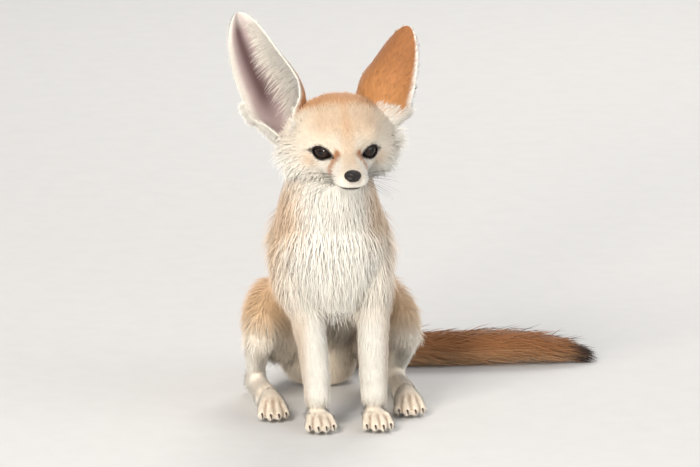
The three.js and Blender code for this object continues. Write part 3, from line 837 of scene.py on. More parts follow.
@dataclass
class Eye:
    """An eye between its lids. Places in it are in layout millimetres."""

    side: int
    radius: float = 8.4
    out: float = 13.6
    front: float = -20.6
    gaze: float = math.radians(34)
    lid_radius: float = 9.75

    @property
    def centre(self) -> Array:
        """The ball's centre."""
        return HEAD_AT + np.array([self.side * self.out, self.front, 0.0])

    @property
    def axes(self) -> Array:
        """Rows: the eye's own x, the way back into the head, and up."""
        a = self.side * self.gaze
        return np.array([[math.cos(a), math.sin(a), 0], [-math.sin(a), math.cos(a), 0], [0, 0, 1.0]])

    def place(self, local: Array) -> Array:
        """Turns the eye's own places into layout ones."""
        return self.centre + np.asarray(local) @ self.axes

    def local(self, points: Array) -> Array:
        """Turns layout places into the eye's own."""
        return (points - self.centre) @ self.axes.T

    def almond(self, steps: int = 20, grow: float = 0.0) -> Array:
        """The opening between the lids, as rows of x and z."""
        s = self.side
        inner, outer = np.array([-(9.2 + grow) * s, -1.9]), np.array([(8.5 + grow) * s, 0.8])
        lower = np.array([1.0 * s, -8.6 - 1.6 * grow])
        upper = np.array([-1.2 * s, 8.7 + 1.6 * grow])
        t = np.linspace(0, 1, steps)[:, None]
        over = inner * (1 - t) ** 2 + upper * 2 * t * (1 - t) + outer * t**2
        under = outer * (1 - t) ** 2 + lower * 2 * t * (1 - t) + inner * t**2
        return np.vstack([over, under[1:-1]])

    def distance(self, points: Array) -> Array:
        """How far points in front of the eye are outside its opening, in mm, less than 0 inside."""
        local = self.local(points)
        outline = self.almond(40)
        flat = local[:, [0, 2]]
        far = np.sqrt(((flat[:, None] - outline[None]) ** 2).sum(axis=2)).min(axis=1)
        inside = inside_outline(flat, outline)
        value = np.where(inside, -far, far)
        return np.where(local[:, 1] > 2.0, FAR, value)

    def corners(self, points: Array) -> Array:
        """How dark points are from the lines that run out of the eye's two corners, 0 to 1."""
        local = self.local(points)
        flat = local[:, [0, 2]]
        dark = np.zeros(len(points))
        for start, end, wide in (((-8.2, -1.6), (-11.4, -2.6), 2.2), ((7.2, 0.6), (12.4, 0.3), 2.6)):
            start, end = np.array(start) * (self.side, 1), np.array(end) * (self.side, 1)
            line = end - start
            along = np.clip((flat - start) @ line / (line @ line), 0, 1)
            away = np.linalg.norm(flat - start - along[:, None] * line, axis=1)
            dark = np.maximum(dark, smooth(1.25, 0.6, away / (wide * (1 - 0.6 * along))))
        return dark * (local[:, 1] < 5.0)

    def build_ball(self, name: str) -> Piece:
        """The eyeball with its cornea."""
        bpy.ops.mesh.primitive_uv_sphere_add(segments=72, ring_count=56, radius=1.0)
        ball = bpy.context.object
        rename(ball, name)
        points = read_points(ball)
        points = np.stack([points[:, 0], -points[:, 2], points[:, 1]], axis=1)
        polar = np.arccos(np.clip(-points[:, 1], -1, 1))
        swell = 1 + 0.035 * np.exp(-((polar / 0.62) ** 4))
        write_points(ball, to_world(self.place(points * (self.radius * swell)[:, None])))
        angle = np.arctan2(points[:, 2], points[:, 0])
        write_mark(ball, "iris", np.stack([polar, angle, points[:, 2]], axis=1))
        turn_outwards(ball)
        shade_smooth(ball)
        return ball

    def build_rim(self) -> Piece:
        """The dark edge of the lids."""
        outline = self.almond(26, 0.15)
        reach = self.lid_radius - 0.35
        depth = -np.sqrt(np.maximum(reach**2 - np.sum(outline**2, axis=1), 1.0))
        path = self.place(np.stack([outline[:, 0], depth, outline[:, 1]], axis=1))
        for _ in range(2):
            path = path * 0.5 + 0.25 * (np.roll(path, 1, axis=0) + np.roll(path, -1, axis=0))
        upper = (np.arange(len(path)) < 26).astype(float)
        radii = 0.62 + 0.22 * upper
        return tube("lid", to_world(path), radii * MM, 10, closed=True)

    def cutter(self) -> list[Piece]:
        """The socket and the opening, to be cut out of the skin."""
        ball = ball_at(self.centre, self.radius + 0.35, 48, 32)
        outline = self.almond(14)
        near = np.stack([outline[:, 0], np.zeros(len(outline)), outline[:, 1]], axis=1)
        far = near + np.array([0, -20.0, 0])
        count = len(outline)
        k = np.arange(count)
        n = np.roll(k, -1)
        middle = np.full(count, 2 * count)
        caps = [np.stack([middle, k, n], axis=1), np.stack([middle + 1, k + count, n + count], axis=1)]
        points = np.vstack([near, far, near.mean(axis=0), far.mean(axis=0)])
        triangles = np.vstack([wall_triangles(k, count), *caps])
        bar = mesh_piece("opening", to_world(self.place(points)), triangles)
        turn_outwards(bar)
        return [ball, bar]


def inside_outline(points: Array, outline: Array) -> Array:
    """Whether points are inside a closed outline.

    Args:
        points: rows of two numbers.
        outline: its corners in order.

    Returns:
        True for each point inside.
    """
    inside = np.zeros(len(points), bool)
    following = np.roll(outline, -1, axis=0)
    for (x0, y0), (x1, y1) in zip(outline, following):
        crosses = (y0 > points[:, 1]) != (y1 > points[:, 1])
        if abs(y1 - y0) < 1e-9:
            continue
        where = x0 + (points[:, 1] - y0) / (y1 - y0) * (x1 - x0)
        inside ^= crosses & (points[:, 0] < where)
    return inside


# ---- skin


@dataclass
class Skin:
    """One skin for the whole fox: all forms and both ears, without seams."""

    forms: list[Form]
    ears: list[Ear]
    eyes: list[Eye]
    voxel: float = 1.5
    mouth_gap: float = 0.75
    mouth_half: float = 12.5

    def build(self) -> Piece:
        """Makes the skin's mesh, with its unwrap."""
        pieces = []
        for form in self.forms:
            small = "toe" in form.name
            pieces.append(form.build(24 if small else 40, 28 if small else 44))
        pieces += [ball_at(eye.centre, eye.lid_radius, 32, 20) for eye in self.eyes]
        skin = joined("skin", pieces)
        turn_outwards(skin)
        skin.data.remesh_voxel_size = self.voxel * MM
        select_only(skin)
        bpy.ops.object.voxel_remesh()
        self.soften(skin)
        self.hollow(skin)
        self.flatten(skin)
        for cutter in [part for eye in self.eyes for part in eye.cutter()] + [self.mouth_cutter()]:
            apply_modifier(skin, "BOOLEAN", operation="DIFFERENCE", solver="EXACT", object=cutter)
            bpy.data.objects.remove(cutter)
        write_mark(skin, "ear_place", np.zeros((len(skin.data.vertices), 3)))
        write_mark(skin, "ear_name", np.zeros((len(skin.data.vertices), 3)))
        skin = joined("skin", [skin] + [ear.build() for ear in self.ears])
        apply_modifier(skin, "TRIANGULATE")
        shade_smooth(skin)
        self.unwrap(skin)
        return skin

    def soften(self, skin: Piece) -> None:
        """Smooths the joints between the forms, less at the face and the feet."""
        points = to_layout(read_points(skin))
        head = points - HEAD_AT
        face = smooth(-4, -22, head[:, 1]) * smooth(-45, -25, head[:, 2])
        fore = smooth(-80, -88, points[:, 1])
        hind = smooth(-36, -44, points[:, 1])
        feet = smooth(20, 12, points[:, 2]) * np.where(np.abs(points[:, 0]) < 36, fore, hind)
        self.smooth_share(skin, np.clip(1 - 0.93 * np.maximum(face, feet), 0.0, 1.0), 14)
        apply_modifier(skin, "SMOOTH", factor=0.5, iterations=2)
        joint = smooth(40, 30, points[:, 2]) * smooth(9, 13, points[:, 2]) * (1 - feet)
        self.smooth_share(skin, joint * smooth(44, 36, points[:, 1]), 40)

    def smooth_share(self, skin: Piece, weight: Array, times: int) -> None:
        """Smooths each vertex by its weight, rounded to tenths."""
        group = skin.vertex_groups.new(name="weight")
        tenths = np.round(weight * 10).astype(int)
        for level in range(1, 11):
            group.add([int(i) for i in np.nonzero(tenths == level)[0]], level / 10, "REPLACE")
        apply_modifier(skin, "SMOOTH", factor=0.5, iterations=times, vertex_group=group.name)
        skin.vertex_groups.clear()

    def hollow(self, skin: Piece) -> None:
        """Draws the skin in round the eyes, so that it lies on the lids."""
        points = to_layout(read_points(skin))
        for eye in self.eyes:
            near = np.nonzero(np.linalg.norm(points - eye.centre, axis=1) < EYE_REACH)[0]
            gap = eye.distance(points[near])
            away = points[near] - eye.centre
            far = np.linalg.norm(away, axis=1)
            limit = eye.lid_radius + 0.62 * np.maximum(gap - 1.2, 0.0) ** 1.12
            over = np.maximum(far - limit, 0.0)
            drawn = far - over * smooth(11.0, 5.0, gap) * (eye.local(points[near])[:, 1] < 2)
            points[near] = eye.centre + away * (drawn / far)[:, None]
        write_points(skin, to_world(points))
        apply_modifier(skin, "SMOOTH", factor=0.5, iterations=2)

    def flatten(self, skin: Piece) -> None:
        """Keeps all of the skin above the floor."""
        points = read_points(skin)
        points[:, 2] = np.maximum(points[:, 2], SOLE)
        write_points(skin, points)

    def mouth_cutter(self) -> Piece:
        """A thin curved slot along the line of the mouth."""
        fine = catmull(MOUTH, np.linspace(0, 1, 14))
        half = self.mouth_half
        gap = self.mouth_gap / 2
        rows = []
        for y, z in fine:
            rows += [(-half, y, z + gap), (half, y, z + gap), (half, y, z - gap), (-half, y, z - gap)]
        points = np.array(rows, float) + HEAD_AT
        last = (len(fine) - 1) * 4
        caps = [[0, 1, 2], [0, 2, 3], [last, last + 2, last + 1], [last, last + 3, last + 2]]
        triangles = np.vstack([grid_triangles(4, len(fine), True), caps])
        bar = mesh_piece("slot", to_world(points), triangles)
        turn_outwards(bar)
        return bar

    def unwrap(self, skin: Piece) -> None:
        """Lays the skin out flat."""
        select_only(skin)
        while skin.data.uv_layers:
            skin.data.uv_layers.remove(skin.data.uv_layers[0])
        skin.data.uv_layers.new(name=UV_NAME)
        bpy.ops.object.mode_set(mode="EDIT")
        bpy.ops.mesh.select_all(action="SELECT")
        bpy.ops.uv.smart_project(angle_limit=math.radians(62), island_margin=0.002)
        bpy.ops.object.mode_set(mode="OBJECT")


# ---- the coat's plan


@dataclass
class Plan:
    """What the coat does at each vertex of the skin."""

    points: Array
    normals: Array
    lie: Array
    hair: Array
    rise: Array
    density: Array
    colour: Array
    region: Array
    clump: Array

    def paint(self, colour: Array, share: Array) -> None:
        """Blends a colour in, by a share per vertex."""
        self.colour = mix(self.colour, colour, share)

    def lean(self, outward: float, upward: float, share: Array) -> None:
        """Bends the head's coat away from its middle and up, by a share per vertex."""
        x = self.points[:, 0] - HEAD_AT[0]
        way = np.stack([np.sign(x) * outward, np.zeros_like(x), np.full_like(x, upward)], axis=1)
        self.lie += share[:, None] * way


class Region(Enum):
    """The coat's pieces."""

    HEAD = 0
    EARS = 1
    NECK = 2
    TRUNK = 3
    ARMS = 4
    PAWS = 5
    HAUNCH = 6
    TAIL = 7


REGION_OF = {
    "torso": Region.TRUNK,
    "chest": Region.TRUNK,
    "neck": Region.NECK,
    "head": Region.HEAD,
    "upper": Region.ARMS,
    "forearm": Region.ARMS,
    "forepaw": Region.PAWS,
    "hind": Region.PAWS,
    "thigh": Region.HAUNCH,
    "shank": Region.HAUNCH,
    "tail": Region.TAIL,
}


class CoatPlanner:
    """Works out lie, length and markings over the skin."""

    def __init__(self, body: Body, ears: list[Ear], eyes: list[Eye]) -> None:
        """Keeps the body, ears and eyes that it reads."""
        self.body = body
        self.ears = {ear.front: ear for ear in ears}
        self.eyes = eyes

    def plan(self, skin: Piece) -> Plan:
        """Reads the whole skin.

        Args:
            skin: the finished skin.

        Returns:
            The plan, one row per vertex.
        """
        points = to_layout(read_points(skin))
        reading = self.body.read(points)
        owner = np.array([REGION_OF[name.split("_")[0]].value for name in self.body.names])
        deep = self.body.share_of(reading, "neck", "chest", "torso")
        plan = Plan(
            points=points,
            normals=vertex_normals(skin),
            lie=reading.lie,
            hair=reading.hair,
            rise=0.42 - 0.12 * deep + 0.45 * smooth(6, 2, reading.hair),
            density=np.ones(len(points)),
            colour=reading.colour,
            region=owner[np.argmax(reading.shares, axis=1)],
            clump=np.zeros(len(points)),
        )
        self.dress_mane(plan, reading)
        self.dress_trunk(plan, reading)
        self.dress_tail(plan, reading)
        self.dress_head(plan, self.body.share_of(reading, "head"))
        self.dress_paws(plan)
        plan.clump = 0.3 * smooth(5, 24, plan.hair)
        self.dress_ears(plan, skin)
        plan.lie = unit(plan.lie - plan.normals * np.sum(plan.lie * plan.normals, axis=1, keepdims=True))
        low = smooth(3.0, 0.5, points[:, 2])
        plan.density *= 1 - 0.9 * low * smooth(-0.3, -0.8, plan.normals[:, 2])
        return plan

    def dress_mane(self, plan: Plan, reading: Reading) -> None:
        """Fans the coat out over the shoulders at the foot of the neck."""
        mane = np.exp(-(((plan.points[:, 2] - 152) / 20) ** 2)) * smooth(-14, -44, plan.points[:, 1])
        mane *= self.body.share_of(reading, "neck", "torso", "chest", "upper")
        away = plan.points - np.array([-8.0, -46.0, 0.0])
        away[:, 2] = 0
        plan.lie += 0.5 * mane[:, None] * unit(away)
        plan.hair *= 1 + 0.15 * mane
        plan.rise += 0.22 * mane

    def dress_trunk(self, plan: Plan, reading: Reading) -> None:
        """Lays the trunk's coat downwards and colours breast, flanks, collar, forelegs and back."""
        x, y, z = plan.points.T
        _, back, up = plan.normals.T
        trunk = self.body.share_of(reading, "torso", "chest", "neck", "upper", "thigh")
        plan.lie += trunk[:, None] * np.array([0.0, 0.05, -0.45])
        breast = smooth(-30, -62, y) * smooth(60, 100, z) * trunk
        plan.paint(Palette.WHITE, 0.75 * breast * smooth(0.2, -0.5, back))
        flank = smooth(22, 38, np.abs(x + 6)) * smooth(70, 110, z) * smooth(-82, -48, y) * trunk
        plan.paint(Palette.SAND, 0.62 * flank)
        collar = smooth(12, 24, np.abs(x + 8)) * smooth(142, 156, z) * smooth(192, 176, z)
        collar *= smooth(-84, -66, y) * self.body.share_of(reading, "neck", "torso", "chest")
        plan.paint(Palette.PEACH, 0.75 * collar)
        leg = self.body.share_of(reading, "forearm") * smooth(24, 33, np.abs(x + 1))
        plan.paint(Palette.PEACH, 0.5 * leg)
        saddle = smooth(0.1, 0.8, up * 0.5 + back * 0.6) * trunk * smooth(-60, 0, y)
        plan.paint(Palette.CROWN, 0.42 * saddle)

    def dress_tail(self, plan: Plan, reading: Reading) -> None:
        """Darkens the tail towards its tip."""
        tail = self.body.share_of(reading, "tail")
        plan.paint(Palette.BROWN, 0.35 * tail * smooth(120, 165, plan.points[:, 0]))
        plan.paint(Palette.DARK, 0.95 * tail * smooth(168, 186, plan.points[:, 0]))

    def dress_paws(self, plan: Plan) -> None:
        """Sets the hocks' and paws' hair, and paints shade into the clefts between the toes."""
        _, y, z = plan.points.T
        hock = smooth(8, 14, z) * smooth(52, 44, z) * smooth(-34, -28, y)
        plan.hair = np.maximum(plan.hair, 6.8 * hock)
        plan.rise *= 1 - 0.6 * hock
        for paw in all_paws():
            far = np.linalg.norm(plan.points - paw.centre, axis=1)
            furry = smooth(34, 24, far) * smooth(3, 8, z)
            plan.hair += 1.7 * furry * smooth(-12, -4, y - paw.centre[1] + 4)
            plan.rise *= 1 - 0.5 * furry
            near = np.nonzero(far < 30)[0]
            away = []
            for place in TOES:
                root, tip = paw.toe_line(place)
                line = tip - root
                along = np.clip((plan.points[near] - root) @ line / (line @ line), 0, 1.3)
                away.append(np.linalg.norm(plan.points[near] - root - along[:, None] * line, axis=1))
            away = np.sort(np.array(away), axis=0)
            front = smooth(-7, -12, y[near] - paw.centre[1])
            # painted shade: the clefts between the toes darker brown, with fewer tufts over them
            cleft_shade = smooth(2.1, 0.5, away[1] - away[0]) * smooth(2.2, 3.2, away[0]) * front
            plan.colour[near] = mix(plan.colour[near], Palette.BROWN, 0.75 * cleft_shade)
            plan.density[near] *= 1 - 0.9 * cleft_shade

    def dress_head(self, plan: Plan, share: Array) -> None:
        """Lays the face's coat and has its markings painted.

        Args:
            plan: the plan, changed in place.
            share: how far each point is part of the head.
        """
        head = plan.points - HEAD_AT
        x, y, z = head.T
        out = np.abs(x)
        cheek = smooth(14, 34, out) * smooth(16, -8, z) * smooth(-28, -6, y) * share
        plan.lean(0.45, -0.75, cheek)
        sides = 1.3 * smooth(-30, -44, y) * smooth(5, 10, out) * share
        plan.hair = (plan.hair + sides) * (1 + 0.9 * cheek)
        plan.rise += 0.1 * cheek
        ruff = np.maximum(blob(head, (-40, 8, -4), 14), 0.7 * blob(head, (40, 10, 4), 13)) * share
        plan.rise += 0.75 * ruff
        plan.lean(0.7, -0.1, ruff)
        forehead = smooth(6, 16, z) * smooth(-34, -24, y) * share
        plan.lean(0.12, 0.5, forehead)
        chin = smooth(-22, -26, z) * smooth(-30, -44, y) * share
        plan.hair *= 1 + 0.9 * chin
        below = np.abs(z - np.interp(y, *LIPS))
        margin = smooth(4.5, 1.5, below) * smooth(-35, -40, y) * share
        plan.hair *= 1 - 0.5 * margin
        plan.rise *= 1 - 0.6 * margin
        lips = smooth(1.5, 0.7, below) * smooth(-35, -40, y) * share
        plan.density *= 1 - 0.85 * lips
        streak = self.paint_head(plan, share, lips)
        self.dress_eyes(plan, streak)

    def paint_head(self, plan: Plan, share: Array, lips: Array) -> Array:
        """Paints the head's markings, from the brow to the corners of the eyes.

        Args:
            plan: the plan, changed in place.
            share: how far each point is part of the head.
            lips: how far it is part of the line of the mouth.

        Returns:
            How far each point is part of the streaks under the eyes.
        """
        x, y, z = (plan.points - HEAD_AT).T
        out = np.abs(x)
        mirrored = np.stack([out, y, z], axis=1)
        trail = catmull(STREAK_LINE, np.linspace(0, 1, 25))
        far = np.linalg.norm(mirrored[:, None] - trail[None], axis=2)
        along = np.argmin(far, axis=1) / 24
        streak = smooth(6.2, 3.0, far.min(axis=1)) * share * (1 - 0.3 * along)
        bridge = smooth(-24, -36, y) * smooth(-60, -50, y) * smooth(6, 2.5, out) * smooth(-12, -4, z)
        for colour, strength, mark in (
            (Palette.PEACH, 0.62, share * smooth(4, 20, z) * smooth(32, 16, out)),
            (Palette.CROWN, 0.9, share * smooth(23, 32, z + 0.6 * (y + 10)) * smooth(4, 16, z)),
            (Palette.CROWN, 0.8, share * smooth(6, 24, y) * smooth(-14, 8, z)),
            (Palette.WHITE, 0.6, share * smooth(-30, -44, y) * smooth(4, 9, out)),
            (Palette.PEACH, 0.4, share * bridge),
            (Palette.CROWN, 0.27, share * smooth(4.5, 0.6, out) * smooth(8, 18, z) * smooth(2, -8, y)),
            (Palette.STREAK, 0.9, streak),
            (Palette.BROWN, 0.5, share * blob(mirrored, (10.8, -50, -15.5), 2.6)),
            (Palette.BROWN, 0.3, share * blob(mirrored, (0, -62, -12), 7.5)),
            (Palette.DARK, 0.9, lips),
            (Palette.PEACH, 0.7, share * blob(mirrored, (25.5, -20, -6.5), 6.5)),
        ):
            plan.paint(colour, strength * mark)
        return streak

    def dress_eyes(self, plan: Plan, streak: Array) -> None:
        """Parts the short hair round the eyes and paints their dark rims and corners."""
        for eye in self.eyes:
            gap = eye.distance(plan.points)
            away = plan.points - eye.centre
            near = smooth(9, 2, gap) * smooth(30, 22, np.linalg.norm(away, axis=1))
            plan.lie += near[:, None] * unit(away + np.array([0, 4.0, 0])) * 1.4
            plan.hair *= 1 - 0.45 * near
            corners = eye.corners(plan.points)
            rim = np.maximum(smooth(1.9, 0.9, gap), corners)
            plan.paint(Palette.DARK, 0.92 * rim)
            plan.density *= smooth(0.9, 1.6, gap)
            plan.density *= 1 - 0.95 * corners
            plan.paint(Palette.WHITE, 0.2 * smooth(5.5, 2.5, gap) * (1 - rim) * (1 - streak))

    def dress_ears(self, plan: Plan, skin: Piece) -> None:
        """Lays and paints the ears' own coat, by the marks that their vertices carry."""
        place, along, face = read_mark(skin, "ear_place").T
        front = read_mark(skin, "ear_name")[:, 0]
        for sign, ear in self.ears.items():
            chosen = np.nonzero(front * sign > 0.5)[0]
            p, a, outer = place[chosen], along[chosen], face[chosen] > 0
            _, out, tangents = ear.frame(p, a)
            edge = smooth(0.8, 0.97, np.abs(p))
            plan.region[chosen] = Region.EARS.value
            plan.lie[chosen] = tangents + 0.12 * np.sign(p)[:, None] * unit(np.cross(out, tangents))
            outside = (6.5 - 3.3 * a) * (1 - 0.5 * edge)
            plan.hair[chosen] = np.where(outer, outside, 3.2 - 1.0 * a + 1.5 * edge)
            plan.rise[chosen] = np.where(outer, 0.2, 0.3)
            plan.clump[chosen] = 0.15
            inside = 0.35 + 0.5 * edge + 0.4 * smooth(0.0, 0.6, p)
            plan.density[chosen] = np.where(outer, 1.0, inside) * smooth(1.0, 0.94, a)
            plan.colour[chosen] = np.where(outer[:, None], ear_back(p, a), ear_cup(p, a))


def ear_back(place: Array, along: Array) -> Array:
    """Colours of an ear's outside: orange to rust, with white edges, foot and skirt."""
    rust = mix(Palette.CROWN, Palette.RUST, smooth(0.15, 0.8, along))
    pale = np.maximum(smooth(0.8, 0.98, np.abs(place)), smooth(0.2, 0.0, along) * 0.5)
    skirt = smooth(0.1, -0.45, place) * smooth(0.36, 0.16, along)
    return mix(mix(rust, Palette.WHITE, pale), Palette.WHITE, 0.9 * skirt)


def ear_cup(place: Array, along: Array) -> Array:
    """Colours of an ear's inside: mauve skin with a darker stripe in its hollow, deepened by painted shade,
    and white edges and tip.
    """
    # partly the cup's darker skin, partly painted shade, darker further up the cup
    hollow = smooth(0.4, 0.0, np.abs(place + 0.46)) * (0.35 + 0.6 * smooth(0.1, 0.42, along))
    cup = mix(Palette.MAUVE, Palette.EAR_DARK_AND_SHADE, hollow)
    cup = mix(cup, Palette.WHITE, 0.7 * smooth(-0.1, 0.7, place))
    cup = mix(cup, Palette.WHITE, 0.8 * smooth(0.72, 0.95, np.abs(place)))
    return mix(cup, Palette.WHITE, 0.35 * smooth(0.86, 1.0, along))


# ---- tufts


@dataclass
class Tufts:
    """Grows solid tapered tufts on the skin and makes a mesh of them."""

    skin: Piece
    plan: Plan
    seed: int = 7
    thin: float = 1.0

    def __post_init__(self) -> None:
        """Reads the skin's triangles, their areas and their places on the unwrap."""
        mesh = self.skin.data
        flat = np.empty(len(mesh.polygons) * 3, dtype=np.int32)
        mesh.loops.foreach_get("vertex_index", flat)
        self.triangles = flat.reshape(-1, 3)
        uvs = np.empty(len(flat) * 2, dtype=np.float32)
        mesh.uv_layers[UV_NAME].data.foreach_get("uv", uvs)
        self.uvs = uvs.reshape(-1, 3, 2).astype(float)
        a, b, c = (self.plan.points[self.triangles[:, k]] for k in range(3))
        self.areas = np.linalg.norm(np.cross(b - a, c - a), axis=1) / 2
        self.random = np.random.default_rng(self.seed)

    def scatter(self, region: Region, amount: float) -> dict[str, Array]:
        """Chooses roots over a region.

        Args:
            region: where they grow.
            amount: roots per square millimetre where the hair is 1 mm long.

        Returns:
            The roots' readings by name.
        """
        plan, tri = self.plan, self.triangles
        hair = plan.hair[tri].mean(axis=1)
        wanted = plan.region[tri[:, 0]] == region.value
        density = plan.density[tri].mean(axis=1)
        weight = self.areas * density * wanted * amount / np.maximum(hair, 1.2) ** 0.75
        count = int(weight.sum() * self.thin)
        steps = np.cumsum(weight)
        picks = (np.arange(count) + self.random.random(count)) / count * steps[-1]
        chosen = np.minimum(np.searchsorted(steps, picks), len(tri) - 1)
        a, b = self.random.random((2, count))
        over = a + b > 1
        a, b = np.where(over, 1 - a, a), np.where(over, 1 - b, b)
        shares = np.stack([1 - a - b, a, b], axis=1)

        def read(values: Array) -> Array:
            """Blends the corners' values."""
            corner = values[tri[chosen]]
            return (corner * (shares if values.ndim == 1 else shares[:, :, None])).sum(axis=1)

        roots = {
            "point": read(plan.points),
            "normal": unit(read(plan.normals)),
            "lie": unit(read(plan.lie)),
            "hair": read(plan.hair),
            "rise": read(plan.rise),
            "colour": read(plan.colour),
            "clump": read(plan.clump),
            "uv": (self.uvs[chosen] * shares[:, :, None]).sum(axis=1),
        }
        keep = self.random.random(count) < np.clip(read(plan.density) * 1.5, 0, 1)
        return {name: rows[keep] for name, rows in roots.items()}

    def grow(self, region: Region, amount: float, rings: int) -> list[Piece]:
        """Grows one region's coat, as pieces named after it.

        Args:
            region: where it grows.
            amount: roots per square millimetre where the hair is 1 mm long.
            rings: sections of each tuft before its tip.

        Returns:
            The pieces, each under the limit of faces.
        """
        roots = self.scatter(region, amount)
        count = len(roots["point"])
        random = self.random
        normal = roots["normal"]
        sideways = np.cross(normal, roots["lie"])
        turn = random.normal(0, 0.2, count)[:, None]
        lie = unit(roots["lie"] + sideways * turn)
        length = roots["hair"] * np.clip(random.normal(1, 0.2, count), 0.55, 1.5)
        rise = roots["rise"] * np.clip(random.normal(1, 0.3, count), 0.3, 1.8)
        width = (0.2 + 0.0105 * roots["hair"]) * random.uniform(0.8, 1.25, count)
        curl = random.normal(0, 0.1, count)
        tips = self.axis(roots["point"], normal, lie, sideways, length, rise, curl, np.ones(1))[:, 0]
        owner = self.owners(roots["point"])
        pull = (tips[owner] - tips) * (roots["clump"] * random.uniform(0.45, 0.85, count))[:, None]
        steps = np.linspace(0, 1, rings + 1)
        axis = self.axis(roots["point"], normal, lie, sideways, length, rise, curl, steps)
        axis = axis + pull[:, None] * (steps**1.5)[None, :, None]
        axis[:, 0] -= normal * 0.5
        across = np.cross(lie, normal)
        profile = np.interp(steps[:-1], [0, 0.3, 0.7, 1], [0.75, 1.0, 0.72, 0.1])
        half = width[:, None] / 2 * profile
        points = strand_points(axis, across, normal, half)
        points[..., 2] = np.maximum(points[..., 2], FLOOR)
        tone = random.normal(1, 0.05, count) * random.normal(1, 0.035, count)[owner]
        colour = np.clip(roots["colour"] * tone[:, None], 0, 1)
        # painted shade: each tuft darker at its root and a little lighter at its tip
        shade = np.concatenate([np.repeat(0.92 + 0.1 * steps[:-1] ** 0.7, 3), [1.03]])
        colours = colour[:, None] * shade[None, :, None]
        own = strand_normals(across, normal, rings)
        lift = 0.5 * smooth(0.4, 0.7, roots["rise"]) + 1.3 * smooth(-0.2, -0.8, normal[:, 2])
        soft = unit(own * SHARP + normal[:, None] * (1 - SHARP) + UP * lift[:, None, None])
        name = "coat_" + region.name.lower()
        return strand_pieces(name, points, colours, roots["uv"], soft)

    def owners(self, points: Array) -> Array:
        """Chooses the tufts that others gather to, and finds the nearest of them for each root."""
        centres = np.nonzero(self.random.random(len(points)) < LOCK_SHARE)[0]
        tree = KDTree(len(centres))
        for k in centres:
            tree.insert(Vector(points[k]), int(k))
        tree.balance()
        return np.array([tree.find(Vector(point))[1] for point in points])

    def axis(self, point: Array, normal: Array, lie: Array, sideways: Array, *shape: Array) -> Array:
        """The middle lines of tufts.

        Args:
            point: the roots.
            normal: the ways out.
            lie: the coat's lie.
            sideways: across both.
            shape: lengths, rises, curls, and the steps from 0 to 1.

        Returns:
            A row of points per tuft.
        """
        length, rise, curl, steps = shape
        s = steps[None, :, None]
        long = length[:, None, None]
        out = rise[:, None, None] * (s - 0.55 * s**2)
        return (
            point[:, None]
            + lie[:, None] * long * s
            + normal[:, None] * long * out
            + sideways[:, None] * long * curl[:, None, None] * s**2
            - UP * long * np.minimum(long / 80, 0.1) * s**2
        )


def strand_points(axis: Array, across: Array, over: Array, half: Array) -> Array:
    """Puts rings of three points, left, right and ridge, round the middle lines of strands.

    Args:
        axis: each strand's middle line, from its root to its tip.
        across: the ways across the strands.
        over: the ways to their ridges.
        half: their half widths at all rings.

    Returns:
        For each strand its rings' points and its tip.
    """
    left = axis[:, :-1] - across[:, None] * half[:, :, None]
    right = axis[:, :-1] + across[:, None] * half[:, :, None]
    ridge = axis[:, :-1] + over[:, None] * (half * RIDGE)[:, :, None]
    rings = np.stack([left, right, ridge], axis=2).reshape(len(axis), -1, 3)
    return np.concatenate([rings, axis[:, -1:]], axis=1)


def strand_normals(across: Array, over: Array, rings: int) -> Array:
    """The ways out of those points by the strands' own faces."""
    own = np.stack([-across, across, over], axis=1)
    return np.concatenate([np.tile(own, (1, rings, 1)), over[:, None]], axis=1)


def strand_triangles(rings: int) -> Array:
    """The faces of one strand with that many rings."""
    faces = [[0, 1, 2]]
    for ring in range(rings - 1):
        a, b = ring * 3, ring * 3 + 3
        for j in range(3):
            k = (j + 1) % 3
            faces += [[a + j, b + k, a + k], [a + j, b + j, b + k]]
    last = (rings - 1) * 3
    faces += [[last + j, rings * 3, last + (j + 1) % 3] for j in range(3)]
    return np.array(faces)


def strand_pieces(name: str, points: Array, colours: Array, uv: Array, soft: Array) -> list[Piece]:
    """Makes meshes of strands, split where one would hold too many faces.

    Args:
        name: the pieces' name.
        points: for each strand its rings of three points and its tip, in layout mm.
        colours: a colour for each of those points.
        uv: each strand's root on the skin's unwrap.
        soft: the normals that its points are shaded by, so that the coat reads as one soft surface.

    Returns:
        The new objects.
    """
    each = points.shape[1]
    faces = strand_triangles((each - 1) // 3)
    limit = PIECE_FACES // len(faces)
    made = []
    parts = max(1, math.ceil(len(points) / limit))
    for part in range(parts):
        chosen = slice(part * len(points) // parts, (part + 1) * len(points) // parts)
        block = points[chosen]
        count = len(block)
        triangles = (faces[None] + np.arange(count)[:, None, None] * each).reshape(-1, 3)
        suffix = f"_{part + 1}" if parts > 1 else ""
        piece = mesh_piece(name + suffix, to_world(block.reshape(-1, 3)), triangles)
        set_colours(piece, colours[chosen].reshape(-1, 3))
        step = np.arange(each) / (each - 1)
        spread = np.stack([(np.arange(each) % 3 - 1) * 0.35, step - 0.5], axis=1) * PATCH
        corners = (uv[chosen][:, None] + spread[None]).reshape(-1, 2)[triangles.ravel()]
        layer = piece.data.uv_layers.new(name=UV_NAME)
        layer.data.foreach_set("uv", np.ascontiguousarray(corners, dtype=np.float32).ravel())
        piece.data.normals_split_custom_set_from_vertices(soft[chosen].reshape(-1, 3).astype(np.float32))
        made.append(piece)
    return made


